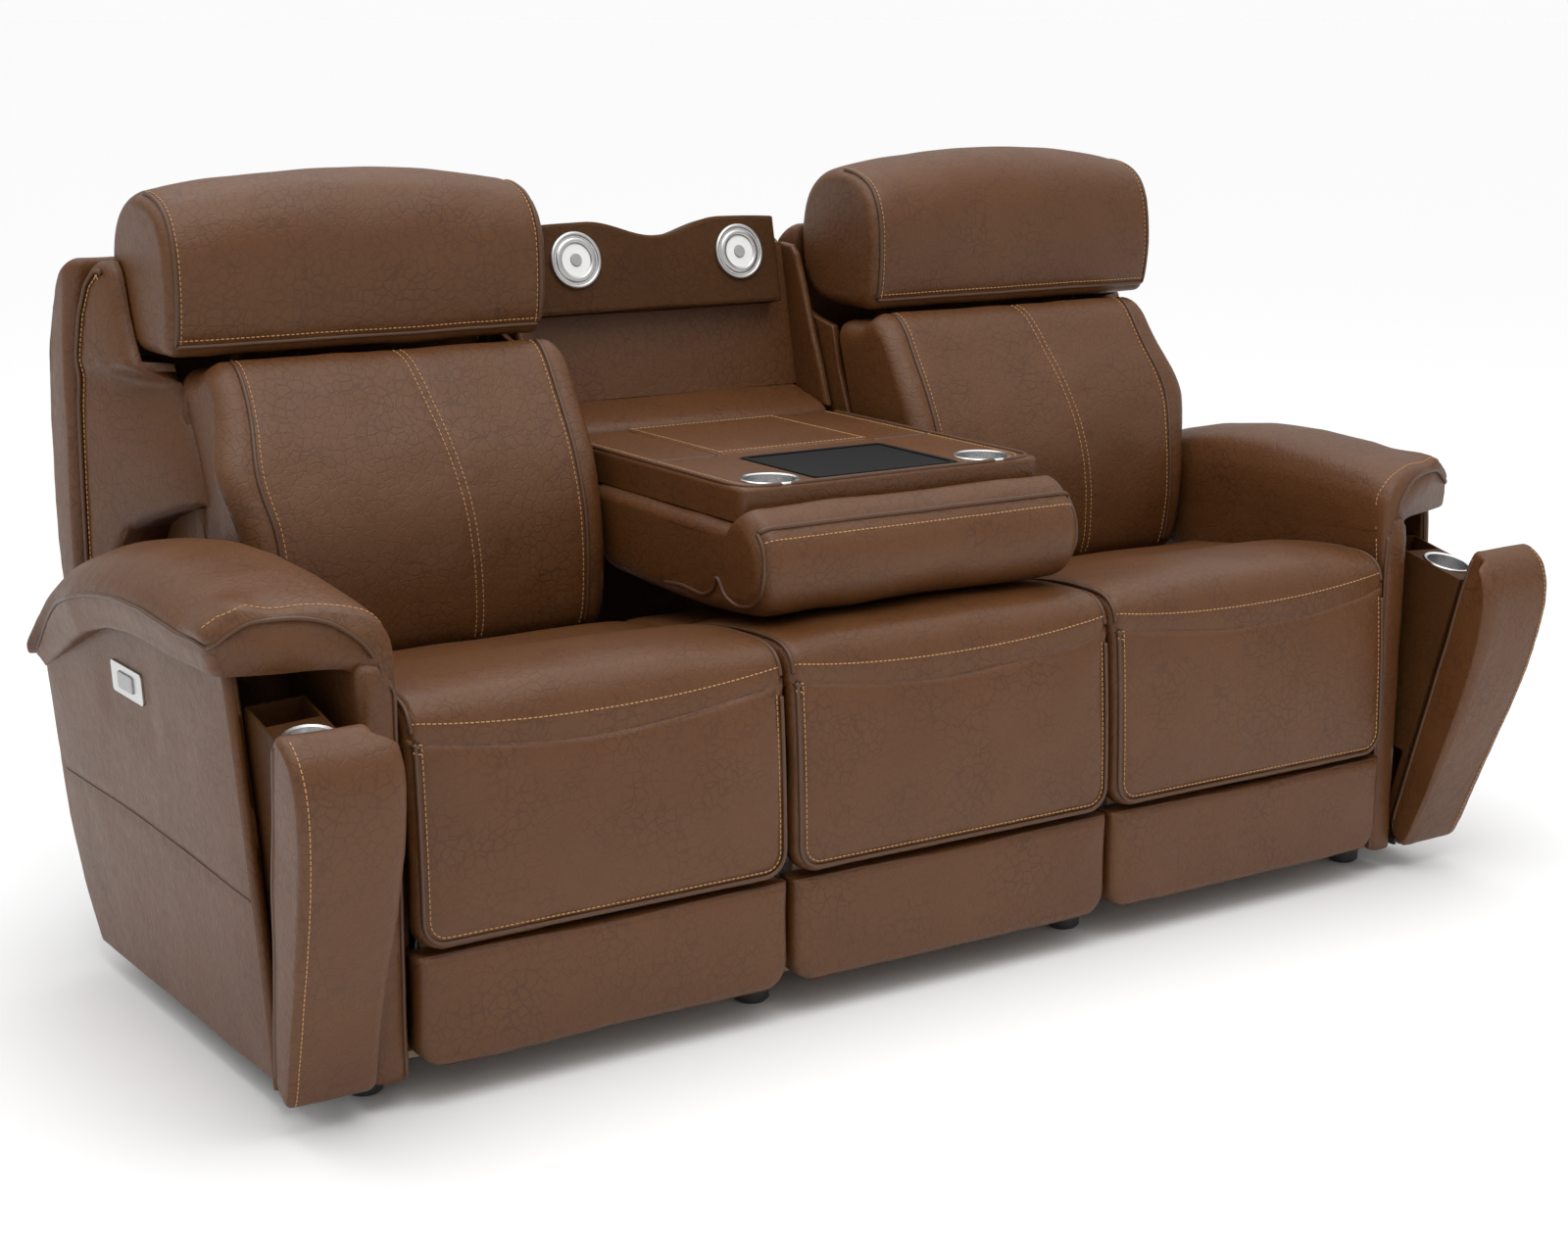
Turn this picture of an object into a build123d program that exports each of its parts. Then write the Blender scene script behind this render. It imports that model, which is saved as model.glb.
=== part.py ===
from build123d import *
import math
import os

# Three-seat power reclining sofa, in millimetres.
# While the pieces are made, Y = 0 is the front plane of the seats and +Y runs to the rear.
# At the end everything moves along Y together, so that the origin is the middle of the footprint.

# Seat places
SEAT_PITCH = 580.0
SEAT_GAP = 2.0
SEAT_LIP = 30.0
SEAT_REAR = 492.0
SEAT_BASE = 406.0
SEAT_FRONT_TOP = 500.0
SEAT_CROWN = 546.0
SEAT_REAR_TOP = 484.0
CUSHION_INSET = 9.0
SOFT_STATIONS = 7

# Front pads under the seat lips
PAD_THICKNESS = 42.0
PAD_BULGE = 6.0
PAD_LEAN = 15.0
LOWER_PAD_BOTTOM = 52.0
LOWER_PAD_HEIGHT = 156.0
PAD_SEAM = 4.0
UPPER_PAD_HEIGHT = 276.0
PAD_INSET = 9.0

# Base frame and feet
FOOT_HEIGHT = 40.0
FOOT_RADIUS = 26.0
RAIL_HEIGHT = 58.0
RAIL_WIDTH = 44.0
FRONT_RAIL_Y = 84.0
REAR_RAIL_Y = 722.0
SEAT_RAIL_HEIGHT = 20.0
SEAT_RAIL_WIDTH = 26.0
SEAT_RAIL_FRONT = 70.0
STRAP_THICKNESS = 2.0
STRAP_WIDTH = 50.0
STRAPS_PER_SEAT = 5

# Footrest mechanism, worked out on each side of a seat place
PLATE_MARGIN = 28.0
STEEL = 5.0
STEEL_GAP = 2.0
LINK_PIVOT = (230.0, 330.0)
LINK_ELBOW = (110.0, 140.0)
LINK_END = (70.0, 330.0)
LINK_HALF_WIDTH = 12.0
LINK_PIN_RADIUS = 5.0
PIN_CLEARANCE = 0.05
TORQUE_TUBE_RADIUS = 9.0
CRANK_LENGTH = 34.0
BOARD_GAP = 1.0
BOARD_THICKNESS = 10.0
BOARD_MARGIN = 26.0
MOTOR_LENGTH = 90.0
MOTOR_WIDTH = 64.0
MOTOR_HEIGHT = 70.0
MOTOR_Z = 178.0
TRACK_LENGTH = 280.0
TRACK_SIDE = 22.0
BLOCK_LENGTH = 46.0
BLOCK_WALL = 10.0
BLOCK_GAP = 0.6

# Reclining backs
RECLINE_PIVOT = (520.0, 430.0)
RECLINE_PIN_RADIUS = 6.0
RECLINE_LOBE = 17.0
BACK_GAP = 3.0
BACK_BOTTOM = 466.0
BACK_LUMBAR_Y = 486.0
BACK_FOOT_Y = 509.0
BACK_HEAD_Y = 648.0
BACK_THICKNESS = 112.0
BACK_INSET = 12.0
BACK_BOARD = 13.0
BACK_SEAT = 4.8
BACK_RAIL = 40.0
SHELL_FRONT = 905.0
SHELL_REAR = 1014.0
SHELL_BOTTOM = 505.0
SHELL_DROP = 116.0
SHELL_WING = 110.0
WING_GAP = 0.3
WING_FRONT_WIDTH = 26.0
WING_TOP = 985.0
WING_FOOT = 562.0
LINING = 17.0
SHELL_INSET = 10.0

# Headrests
HEAD_PIVOT_Y = 716.0
HEAD_PIVOT_RISE = 7.0
HEAD_EXTRA_WIDTH = 14.0
HEAD_SHIFT = 28.0
HEAD_FRONT = 656.0
HEAD_TOP = 1160.0
HEAD_HEIGHT = 254.0
HEAD_CLEARANCE = 16.0
HEAD_REAR = 915.0
HEAD_INSET = 22.0
HEAD_EAR_OFFSET = 200.0
HEAD_EAR_RADIUS = 11.0
HEAD_PIN_RADIUS = 4.0
HEAD_STRAP = (58.0, 51.0)

# Arms
ARM_GAP = 2.0
ARM_WALL = 53.0
ARM_HOLLOW = 88.0
ARM_PANEL = 12.0
ARM_LEAN_ANGLE = 3.65
ARM_FRONT = 20.0
ARM_PANEL_FRONT = 104.0
ARM_REAR = 846.0
ARM_FOOT_REAR = 742.0
ARM_TOP_MIDDLE = 584.0
ARM_FRONT_DROP = 10.0
ARM_REAR_DROP = 62.0
ARM_SHOULDER_DROP = 144.0
CAP_GAP = 0.5
CAP_FRONT = 94.0
CAP_OVERHANG = 38.0
CAP_FRONT_RISE = 72.0
CAP_CROWN_RISE = 114.0
CAP_REAR_RISE = 56.0
CAP_INSET = 16.0
ARM_RAIL_FRONT = 300.0
ARM_RAIL_HEIGHT = 50.0

# Tilting arm bins, drawn closed and then turned open by BIN_OPEN degrees
BIN_PIVOT = (30.0, 46.0)
BIN_OPEN = 13.0
BIN_GAP = 3.0
BIN_WIDTH = 81.0
BIN_REAR = 226.0
BIN_BOTTOM = 196.0
BIN_TOP_DROP = 76.0
BIN_WALL = 4.0
BIN_ROUND = 60.0
BIN_BACKING_Y = 46.0
BIN_BACKING = 10.0
BIN_SHELF_DEPTH = 110.0
BIN_PIN_RADIUS = 4.0
BIN_KNUCKLE_RADIUS = 8.0
BIN_KNUCKLE_WIDTH = 34.0
BIN_PANEL_WIDTH = 122.0
BIN_PANEL_BULGE = 37.0
BIN_PANEL_DROP = 18.0
BIN_PANEL_INSET = 10.0
STRAP_OFFSET = 30.0

# Cup holders
CUP_WALL = 1.5
CUP_RIM = 5.0
CUP_RIM_HEIGHT = 3.0
CUP_FIT = 0.4
ARM_CUP_RADIUS = 34.0
ARM_CUP_DEPTH = 62.0
TABLE_CUP_RADIUS = 38.0
TABLE_CUP_DEPTH = 46.0
TABLE_CUP_EDGE = 76.0
TABLE_CUP_Y = 211.0

# Fold-down centre back, which is the table in the shown pose
TABLE_PIVOT = (595.0, 696.0)
TABLE_MARGIN = 22.0
TABLE_FRONT = 163.0
TABLE_REAR = 715.0
TABLE_TOP = 735.0
TABLE_THICKNESS = 50.0
TABLE_CORNER = 18.0
TABLE_CUSHION_MARGIN = 4.0
TABLE_CUSHION_FRONT = 106.0
TABLE_CUSHION_REAR = 574.0
TABLE_CUSHION_BOTTOM = 551.0
TABLE_CUSHION_GAP = 0.6
TABLE_PIN_RADIUS = 7.0
TABLE_PIN_DEPTH = 30.0
TABLE_LOBE = 15.0
TABLE_BRACKET_GAP = 2.0
MAT_CUP_GAP = 62.0
MAT_FRONT = 184.0
MAT_REAR = 390.0
MAT_THICKNESS = 4.0

# Fixed centre back behind the table
LEDGE_FRONT = 726.0
LEDGE_REAR = 850.0
LEDGE_BOTTOM = 640.0
LEDGE_TOP = 768.0
BOARD_LEAN = 12.0
BOARD_FOOT_Y = 828.0
BOARD_TOP = 1004.0
CENTRE_BOARD = 18.0
CHEEK_THICKNESS = 14.0
CHEEK_FRONT = 736.0
CENTRE_SHELL_MARGIN = 6.0
CENTRE_SHELL_REAR = 1004.0
CENTRE_SHELL_TOP = 1008.0
CENTRE_SHELL_BOTTOM = 486.0
REAR_PANEL_THICKNESS = 12.0
REAR_PANEL_TOP = 330.0
LOWER_BACK_THICKNESS = 4.0
POST_SETBACK = 4.0
POST_WIDTH = 40.0
POST_DEPTH = 34.0
POST_OFFSET = 200.0

# Reading lights
LIGHT_PANEL_MARGIN = 55.0
LIGHT_PANEL_BOTTOM = 912.0
LIGHT_PANEL_HEIGHT = 148.0
LIGHT_PANEL_DIP = 27.0
LIGHT_PANEL_THICKNESS = 40.0
LIGHT_EDGE = 79.0
LIGHT_RISE = 86.0
LIGHT_RADIUS = 46.0
LIGHT_BEZEL_WIDTH = 7.0
LIGHT_BEZEL_HEIGHT = 7.0
LIGHT_LENS_HEIGHT = 4.0
LIGHT_BUTTON_RADIUS = 10.0
LIGHT_BUTTON_HEIGHT = 7.0
BUTTON_GAP = 0.6

# Control plates on the outer sides of the arms
PLATE_Y = 487.0
PLATE_DROP = 88.0
PLATE_LENGTH = 114.0
PLATE_HEIGHT = 45.0
PLATE_THICKNESS = 3.0
PLATE_CORNER = 6.0
KEY_LENGTH = 54.0
KEY_HEIGHT = 24.0
KEY_CORNER = 4.0
KEY_DEPTH = 4.0
KEY_TRAVEL = 1.5

# Values that follow from the sizes above
SEAT_HALF = SEAT_PITCH / 2 - SEAT_GAP
PLATE_OFFSET = SEAT_PITCH / 2 - PLATE_MARGIN
HEAD_BOTTOM = HEAD_TOP - HEAD_HEIGHT
HEAD_PIVOT = (HEAD_PIVOT_Y, HEAD_BOTTOM + HEAD_PIVOT_RISE)
HEAD_WIDTH = SEAT_PITCH + HEAD_EXTRA_WIDTH
BACK_TOP = HEAD_BOTTOM - HEAD_CLEARANCE
SHELL_TOP = HEAD_TOP - SHELL_DROP
ARM_TOP_FRONT = ARM_TOP_MIDDLE - ARM_FRONT_DROP
ARM_TOP_REAR = ARM_TOP_MIDDLE - ARM_REAR_DROP
ARM_SHOULDER = ARM_TOP_MIDDLE - ARM_SHOULDER_DROP
CAP_FRONT_TOP = ARM_TOP_MIDDLE + CAP_FRONT_RISE
CAP_CROWN = ARM_TOP_MIDDLE + CAP_CROWN_RISE
CAP_REAR_TOP = ARM_TOP_MIDDLE + CAP_REAR_RISE
BIN_TOP = ARM_TOP_MIDDLE - BIN_TOP_DROP
BIN_PANEL_TOP = ARM_TOP_MIDDLE - BIN_PANEL_DROP
PLATE_Z = ARM_TOP_MIDDLE - PLATE_DROP
TABLE_HALF_WIDTH = SEAT_PITCH / 2 - TABLE_MARGIN
TABLE_CUSHION_HALF = SEAT_PITCH / 2 - TABLE_CUSHION_MARGIN
TABLE_CUP_X = TABLE_HALF_WIDTH - TABLE_CUP_EDGE
MAT_HALF_WIDTH = TABLE_CUP_X - MAT_CUP_GAP
CENTRE_SHELL_HALF = SEAT_PITCH / 2 - CENTRE_SHELL_MARGIN
LIGHT_PANEL_HALF = SEAT_PITCH / 2 - LIGHT_PANEL_MARGIN
LIGHT_X = LIGHT_PANEL_HALF - LIGHT_EDGE
UPPER_PAD_BOTTOM = LOWER_PAD_BOTTOM + LOWER_PAD_HEIGHT + PAD_SEAM
UPPER_PAD_TOP = UPPER_PAD_BOTTOM + UPPER_PAD_HEIGHT
RAIL_TOP = FOOT_HEIGHT + RAIL_HEIGHT
STRAP_TOP = SEAT_BASE - 0.4
SEAT_RAIL_TOP = STRAP_TOP - STRAP_THICKNESS
SEAT_RAIL_BOTTOM = SEAT_RAIL_TOP - SEAT_RAIL_HEIGHT
LINK_OFFSET = PLATE_OFFSET - STEEL_GAP - STEEL
FRONT_LINK_OFFSET = LINK_OFFSET - STEEL_GAP - STEEL
BRACKET_OFFSET = FRONT_LINK_OFFSET - STEEL_GAP - STEEL
ARM_IN = 1.5 * SEAT_PITCH + ARM_GAP
ARM_WALL_OUT = ARM_IN + ARM_WALL
ARM_PANEL_IN = ARM_WALL_OUT + ARM_HOLLOW
ARM_PANEL_FOOT = ARM_PANEL_IN + ARM_PANEL
ARM_LEAN = math.tan(math.radians(ARM_LEAN_ANGLE)) * (ARM_TOP_MIDDLE - FOOT_HEIGHT)
CAP_OUT = ARM_PANEL_FOOT + ARM_LEAN + CAP_OVERHANG
TABLE_BOTTOM = TABLE_TOP - TABLE_THICKNESS
BRACKET_X = TABLE_HALF_WIDTH + TABLE_BRACKET_GAP
BIN_IN = ARM_WALL_OUT + BIN_GAP
BIN_MIDDLE = BIN_IN + BIN_WIDTH / 2
BACK_SIDE = 1.5 * SEAT_PITCH - BACK_GAP
BACK_INNER = SEAT_PITCH / 2 + BACK_GAP
SIDES = {"left": -1, "right": 1}
SEATS = {"left": -SEAT_PITCH, "centre": 0.0, "right": SEAT_PITCH}


def side_plane(x):
    """Plane whose local axes are the object's Y and Z, at the given X."""
    return Plane(origin=(x, 0, 0), x_dir=(0, 1, 0), z_dir=(1, 0, 0))


def outline(start, steps):
    """Closed face from a start point: each step is a line's end or an arc's (middle, end)."""
    edges = []
    here = start
    for step in steps:
        if isinstance(step[0], tuple):
            edges.append(ThreePointArc(here, step[0], step[1]))
            here = step[1]
        else:
            edges.append(Line(here, step))
            here = step
    if math.dist(here, start) > 0.001:
        edges.append(Line(here, start))
    return make_face(edges)


def corner_points(start, steps):
    """Every point of an outline, arc middles too."""
    points = [start]
    for step in steps:
        points.extend(step if isinstance(step[0], tuple) else (step,))
    return points


def drawn_in(start, steps, inset, fixed=()):
    """The same outline made smaller by an inset on all four sides, apart from its fixed points."""
    points = corner_points(start, steps)
    ys = [point[0] for point in points]
    zs = [point[1] for point in points]
    middle_y = (min(ys) + max(ys)) / 2
    middle_z = (min(zs) + max(zs)) / 2
    scale_y = 1 - 2 * inset / (max(ys) - min(ys))
    scale_z = 1 - 2 * inset / (max(zs) - min(zs))

    def move(point):
        if point in fixed:
            return point
        return (middle_y + (point[0] - middle_y) * scale_y, middle_z + (point[1] - middle_z) * scale_z)

    moved = []
    for step in steps:
        if isinstance(step[0], tuple):
            moved.append((move(step[0]), move(step[1])))
        else:
            moved.append(move(step))
    return outline(move(start), moved)


def padded(x_first, x_last, start, steps, inset, fixed=()):
    """Soft block across X: full in the middle, drawn in by a fourth power towards both ends."""
    sections = []
    for index in range(SOFT_STATIONS):
        across = 2 * index / (SOFT_STATIONS - 1) - 1
        x = (x_first + x_last) / 2 + across * (x_last - x_first) / 2
        sections.append(side_plane(x) * drawn_in(start, steps, inset * across**4, fixed))
    return loft(sections)


def slab(x_first, x_last, start, steps):
    """Rigid plate or block with a side outline, between two X places."""
    low = min(x_first, x_last)
    return extrude(side_plane(low) * outline(start, steps), abs(x_last - x_first))


def block(x_first, x_last, y_first, y_last, z_first, z_last):
    """Plain rectangular bar between two corners."""
    size = Box(abs(x_last - x_first), y_last - y_first, z_last - z_first)
    return Pos((x_first + x_last) / 2, (y_first + y_last) / 2, (z_first + z_last) / 2) * size


def pin(x_first, x_last, point, radius):
    """Round pin along X through a (y, z) point."""
    low = min(x_first, x_last)
    return extrude(side_plane(low) * Pos(*point) * Circle(radius), abs(x_last - x_first))


def bar(x_first, x_last, first, second, half_width):
    """Flat link with round ends, between two (y, z) points."""
    run = (second[0] - first[0], second[1] - first[1])
    angle = math.degrees(math.atan2(run[1], run[0]))
    middle = ((first[0] + second[0]) / 2, (first[1] + second[1]) / 2)
    shape = Pos(*middle) * Rot(0, 0, angle) * SlotCenterToCenter(math.hypot(*run), 2 * half_width)
    low = min(x_first, x_last)
    return extrude(side_plane(low) * shape, abs(x_last - x_first))


def turned(shape, point, degrees):
    """Shape turned about an X axis through a (y, z) point; positive tips the top forwards."""
    there = Pos(0, *point)
    return there * Rot(degrees, 0, 0) * there.inverse() * shape


def leaned(shape, side):
    """Shape tipped outwards like the outer wall of an arm, about the wall's foot."""
    there = Pos(side * ARM_PANEL_FOOT, 0, FOOT_HEIGHT)
    return there * Rot(0, side * ARM_LEAN_ANGLE, 0) * there.inverse() * shape


def cup(radius, depth):
    """Drawn metal cup with a flat rim, standing with the rim's underside at Z = 0."""
    outer = radius + CUP_WALL
    section = outline(
        (0.0, -depth),
        [
            (outer, -depth),
            (outer, 0.0),
            (outer + CUP_RIM, 0.0),
            ((outer + CUP_RIM - 0.6, CUP_RIM_HEIGHT * 0.8), (outer + CUP_RIM / 2, CUP_RIM_HEIGHT)),
            (radius, CUP_RIM_HEIGHT * 0.5),
            (radius, CUP_WALL - depth),
            (0.0, CUP_WALL - depth),
        ],
    )
    return revolve(Plane.XZ * section, Axis.Z)


def seat_cushion(seat_x):
    """Seat cushion: a front roll, a crown and a fall towards the back."""
    start = (SEAT_LIP, SEAT_FRONT_TOP)
    roll_end = (SEAT_LIP + 78.0, SEAT_CROWN)
    steps = [
        ((SEAT_LIP + 20.0, SEAT_CROWN - 14.0), roll_end),
        (
            ((SEAT_REAR + roll_end[0]) / 2, (SEAT_CROWN + SEAT_REAR_TOP) / 2 + 9.0),
            (SEAT_REAR, SEAT_REAR_TOP),
        ),
        (SEAT_REAR, SEAT_BASE),
        (PAD_THICKNESS + 22.0, SEAT_BASE),
        (PAD_THICKNESS + 22.0, UPPER_PAD_TOP - 6.0),
    ]
    return padded(seat_x - SEAT_HALF, seat_x + SEAT_HALF, start, steps, CUSHION_INSET)


def upper_pad(seat_x):
    """Upper front pad: bulged face that leans back towards its top seam."""
    middle = (UPPER_PAD_BOTTOM + UPPER_PAD_TOP) / 2
    steps = [
        ((PAD_LEAN / 2 - PAD_BULGE, middle), (PAD_LEAN, UPPER_PAD_TOP)),
        (PAD_THICKNESS, UPPER_PAD_TOP - 10.0),
        (PAD_THICKNESS, UPPER_PAD_BOTTOM),
    ]
    return padded(
        seat_x - SEAT_HALF, seat_x + SEAT_HALF, (0.0, UPPER_PAD_BOTTOM), steps, PAD_INSET
    )


def lower_pad(seat_x):
    """Lower front pad, down to just above the floor."""
    top = LOWER_PAD_BOTTOM + LOWER_PAD_HEIGHT
    steps = [
        ((-PAD_BULGE, (LOWER_PAD_BOTTOM + top) / 2), (0.0, top)),
        (PAD_THICKNESS, top),
        (PAD_THICKNESS, LOWER_PAD_BOTTOM),
    ]
    return padded(
        seat_x - SEAT_HALF, seat_x + SEAT_HALF, (0.0, LOWER_PAD_BOTTOM), steps, PAD_INSET
    )


def pad_board(seat_x):
    """Plywood board that carries both front pads."""
    half = SEAT_HALF - BOARD_MARGIN
    front = PAD_THICKNESS + BOARD_GAP - 0.7
    return block(
        seat_x - half,
        seat_x + half,
        front,
        front + BOARD_THICKNESS,
        LOWER_PAD_BOTTOM + 12.0,
        UPPER_PAD_TOP - 18.0,
    )


def pad_cleats():
    """Blocks that hold the middle seat's pad board to the front base rail."""
    front = PAD_THICKNESS + BOARD_GAP - 0.7 + BOARD_THICKNESS
    pieces = []
    for side in SIDES.values():
        near = side * (POST_OFFSET - POST_WIDTH / 2)
        far = side * (POST_OFFSET + POST_WIDTH / 2)
        pieces.append(block(near, far, front, FRONT_RAIL_Y, LOWER_PAD_BOTTOM + 14.0, RAIL_TOP))
    return pieces


def base_rails():
    """Cross rails and fore-and-aft rails of the base, butted together."""
    rails = [
        block(-ARM_IN, ARM_IN, FRONT_RAIL_Y, FRONT_RAIL_Y + RAIL_WIDTH, FOOT_HEIGHT, RAIL_TOP),
        block(-ARM_IN, ARM_IN, REAR_RAIL_Y, REAR_RAIL_Y + RAIL_WIDTH, FOOT_HEIGHT, RAIL_TOP),
    ]
    for seat_x in SEATS.values():
        for side in SIDES.values():
            middle = seat_x + side * (PLATE_OFFSET + STEEL / 2)
            rails.append(
                block(
                    middle - RAIL_WIDTH / 4,
                    middle + RAIL_WIDTH / 4,
                    FRONT_RAIL_Y + RAIL_WIDTH,
                    REAR_RAIL_Y,
                    FOOT_HEIGHT,
                    RAIL_TOP,
                )
            )
    return rails


def feet():
    """Round glides under the rails' crossings and under the arms."""
    arm_x = ARM_IN + ARM_WALL / 2
    places = []
    for foot_y in (FRONT_RAIL_Y + RAIL_WIDTH / 2, REAR_RAIL_Y - FOOT_RADIUS):
        for foot_x in (-arm_x, -SEAT_PITCH / 2, SEAT_PITCH / 2, arm_x):
            places.append((foot_x, foot_y))
    glide = Cylinder(FOOT_RADIUS, FOOT_HEIGHT, align=(Align.CENTER, Align.CENTER, Align.MIN))
    glide = chamfer(glide.edges().group_by(Axis.Z)[0], FOOT_HEIGHT / 8)
    return Compound([Pos(x, y, 0) * glide for x, y in places])


def seat_frame(seat_x):
    """Four hardwood rails under one seat cushion."""
    outer = PLATE_OFFSET
    inner = outer - SEAT_RAIL_WIDTH
    levels = (SEAT_RAIL_BOTTOM, SEAT_RAIL_TOP)
    front = SEAT_RAIL_FRONT + SEAT_RAIL_WIDTH
    rear = SEAT_REAR - SEAT_RAIL_WIDTH
    rails = []
    for side in SIDES.values():
        rails.append(block(seat_x + side * inner, seat_x + side * outer, SEAT_RAIL_FRONT, SEAT_REAR, *levels))
    rails.append(block(seat_x - inner, seat_x + inner, SEAT_RAIL_FRONT, front, *levels))
    rails.append(block(seat_x - inner, seat_x + inner, rear, SEAT_REAR, *levels))
    return rails


def seat_straps(seat_x):
    """Webbing straps that run from the front seat rail to the rear one."""
    span = 2 * (PLATE_OFFSET - SEAT_RAIL_WIDTH) - STRAP_WIDTH
    straps = []
    for index in range(STRAPS_PER_SEAT):
        middle = seat_x - span / 2 + span * index / (STRAPS_PER_SEAT - 1)
        straps.append(
            block(
                middle - STRAP_WIDTH / 2,
                middle + STRAP_WIDTH / 2,
                SEAT_RAIL_FRONT,
                SEAT_REAR,
                SEAT_RAIL_TOP,
                STRAP_TOP,
            )
        )
    return straps


def mechanism_plates(seat_x, with_pins):
    """Steel side plates that stand on the base and carry the seat rails and pivot pins."""
    pieces = []
    foot = (LINK_PIVOT[0] + 70.0, RAIL_TOP)
    steps = [
        (RECLINE_PIVOT[0] - 20.0, RAIL_TOP),
        (RECLINE_PIVOT[0] + RECLINE_LOBE, RECLINE_PIVOT[1] - 60.0),
        (RECLINE_PIVOT[0] + RECLINE_LOBE, RECLINE_PIVOT[1]),
        (
            (RECLINE_PIVOT[0], RECLINE_PIVOT[1] + RECLINE_LOBE),
            (RECLINE_PIVOT[0] - RECLINE_LOBE * 0.7, RECLINE_PIVOT[1] + RECLINE_LOBE * 0.7),
        ),
        (SEAT_REAR + 1.5, SEAT_RAIL_TOP - 1.0),
        (SEAT_RAIL_FRONT + 60.0, SEAT_RAIL_TOP - 1.0),
        (SEAT_RAIL_FRONT + 60.0, SEAT_RAIL_BOTTOM),
        (LINK_PIVOT[0] - 22.0, LINK_PIVOT[1] - 22.0),
    ]
    for side in SIDES.values():
        inner = seat_x + side * PLATE_OFFSET
        outer = inner + side * STEEL
        plate = slab(inner, outer, foot, steps)
        if with_pins:
            plate += pin(inner, seat_x + side * (LINK_OFFSET - STEEL_GAP / 2), LINK_PIVOT, LINK_PIN_RADIUS)
            reach = seat_x + side * (PLATE_OFFSET - STEEL_GAP - BACK_BOARD + 1.0)
            plate += pin(inner, reach, RECLINE_PIVOT, RECLINE_PIN_RADIUS)
        pieces.append(plate)
    return pieces


def rear_links(seat_x):
    """Rear pair of footrest links on their torque tube, with the drive crank."""
    links = pin(
        seat_x - LINK_OFFSET + STEEL_GAP,
        seat_x + LINK_OFFSET - STEEL_GAP,
        LINK_PIVOT,
        TORQUE_TUBE_RADIUS,
    )
    crank_end = (LINK_PIVOT[0] + CRANK_LENGTH, LINK_PIVOT[1] - CRANK_LENGTH)
    links += bar(seat_x - STEEL, seat_x + STEEL, LINK_PIVOT, crank_end, LINK_HALF_WIDTH)
    for side in SIDES.values():
        inner = seat_x + side * LINK_OFFSET
        outer = inner + side * STEEL
        arm = bar(inner, outer, LINK_PIVOT, LINK_ELBOW, LINK_HALF_WIDTH)
        arm += pin(inner, inner - side * STEEL_GAP, LINK_PIVOT, TORQUE_TUBE_RADIUS)
        arm -= pin(
            outer,
            seat_x + side * (LINK_OFFSET - STEEL_GAP),
            LINK_PIVOT,
            LINK_PIN_RADIUS + PIN_CLEARANCE,
        )
        stud_end = seat_x + side * (FRONT_LINK_OFFSET - STEEL_GAP / 2)
        arm += pin(outer, stud_end, LINK_ELBOW, LINK_PIN_RADIUS)
        links += arm
    return links


def front_links(seat_x):
    """Front pair of footrest links, joined by a cross rod."""
    middle = ((LINK_ELBOW[0] + LINK_END[0]) / 2, (LINK_ELBOW[1] + LINK_END[1]) / 2)
    links = pin(seat_x - FRONT_LINK_OFFSET, seat_x + FRONT_LINK_OFFSET, middle, LINK_PIN_RADIUS)
    for side in SIDES.values():
        inner = seat_x + side * FRONT_LINK_OFFSET
        outer = inner + side * STEEL
        arm = bar(inner, outer, LINK_ELBOW, LINK_END, LINK_HALF_WIDTH)
        arm -= pin(inner, outer, LINK_ELBOW, LINK_PIN_RADIUS + PIN_CLEARANCE)
        stud_end = seat_x + side * (BRACKET_OFFSET - STEEL_GAP / 2)
        arm += pin(outer, stud_end, LINK_END, LINK_PIN_RADIUS)
        links += arm
    return links


def ottoman_frame(seat_x):
    """Footrest board with the two brackets that hang on the front links."""
    frame = pad_board(seat_x)
    board_rear = PAD_THICKNESS + BOARD_GAP - 0.7 + BOARD_THICKNESS
    for side in SIDES.values():
        inner = seat_x + side * BRACKET_OFFSET
        outer = inner + side * STEEL
        bracket = bar(inner, outer, LINK_END, (board_rear + 2.0, LINK_END[1]), LINK_HALF_WIDTH)
        bracket += block(inner, outer, board_rear - 1.0, LINK_END[0], LINK_END[1] - 34.0, LINK_END[1] + 34.0)
        bracket -= pin(inner, outer, LINK_END, LINK_PIN_RADIUS + PIN_CLEARANCE)
        frame += bracket - block(inner, outer, 0.0, board_rear - 1.0, 0.0, UPPER_PAD_TOP)
    return frame


def drive_motor(seat_x):
    """Gear motor with its lead-screw track, bolted down on the rear base rail."""
    rear = REAR_RAIL_Y - 24.0
    front = rear - MOTOR_LENGTH
    motor = block(
        seat_x - MOTOR_WIDTH / 2,
        seat_x + MOTOR_WIDTH / 2,
        front,
        rear,
        MOTOR_Z - MOTOR_HEIGHT / 2,
        MOTOR_Z + MOTOR_HEIGHT / 2,
    )
    motor = fillet(motor.edges().filter_by(Axis.Y), MOTOR_HEIGHT / 7)
    track_half = TRACK_SIDE / 2
    motor += block(
        seat_x - track_half, seat_x + track_half, front - TRACK_LENGTH, front,
        MOTOR_Z - track_half, MOTOR_Z + track_half,
    )
    motor += block(
        seat_x - MOTOR_WIDTH / 3, seat_x + MOTOR_WIDTH / 3, rear - 30.0, REAR_RAIL_Y + RAIL_WIDTH / 2,
        RAIL_TOP, MOTOR_Z - MOTOR_HEIGHT / 2 + 4.0,
    )
    return motor


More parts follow.
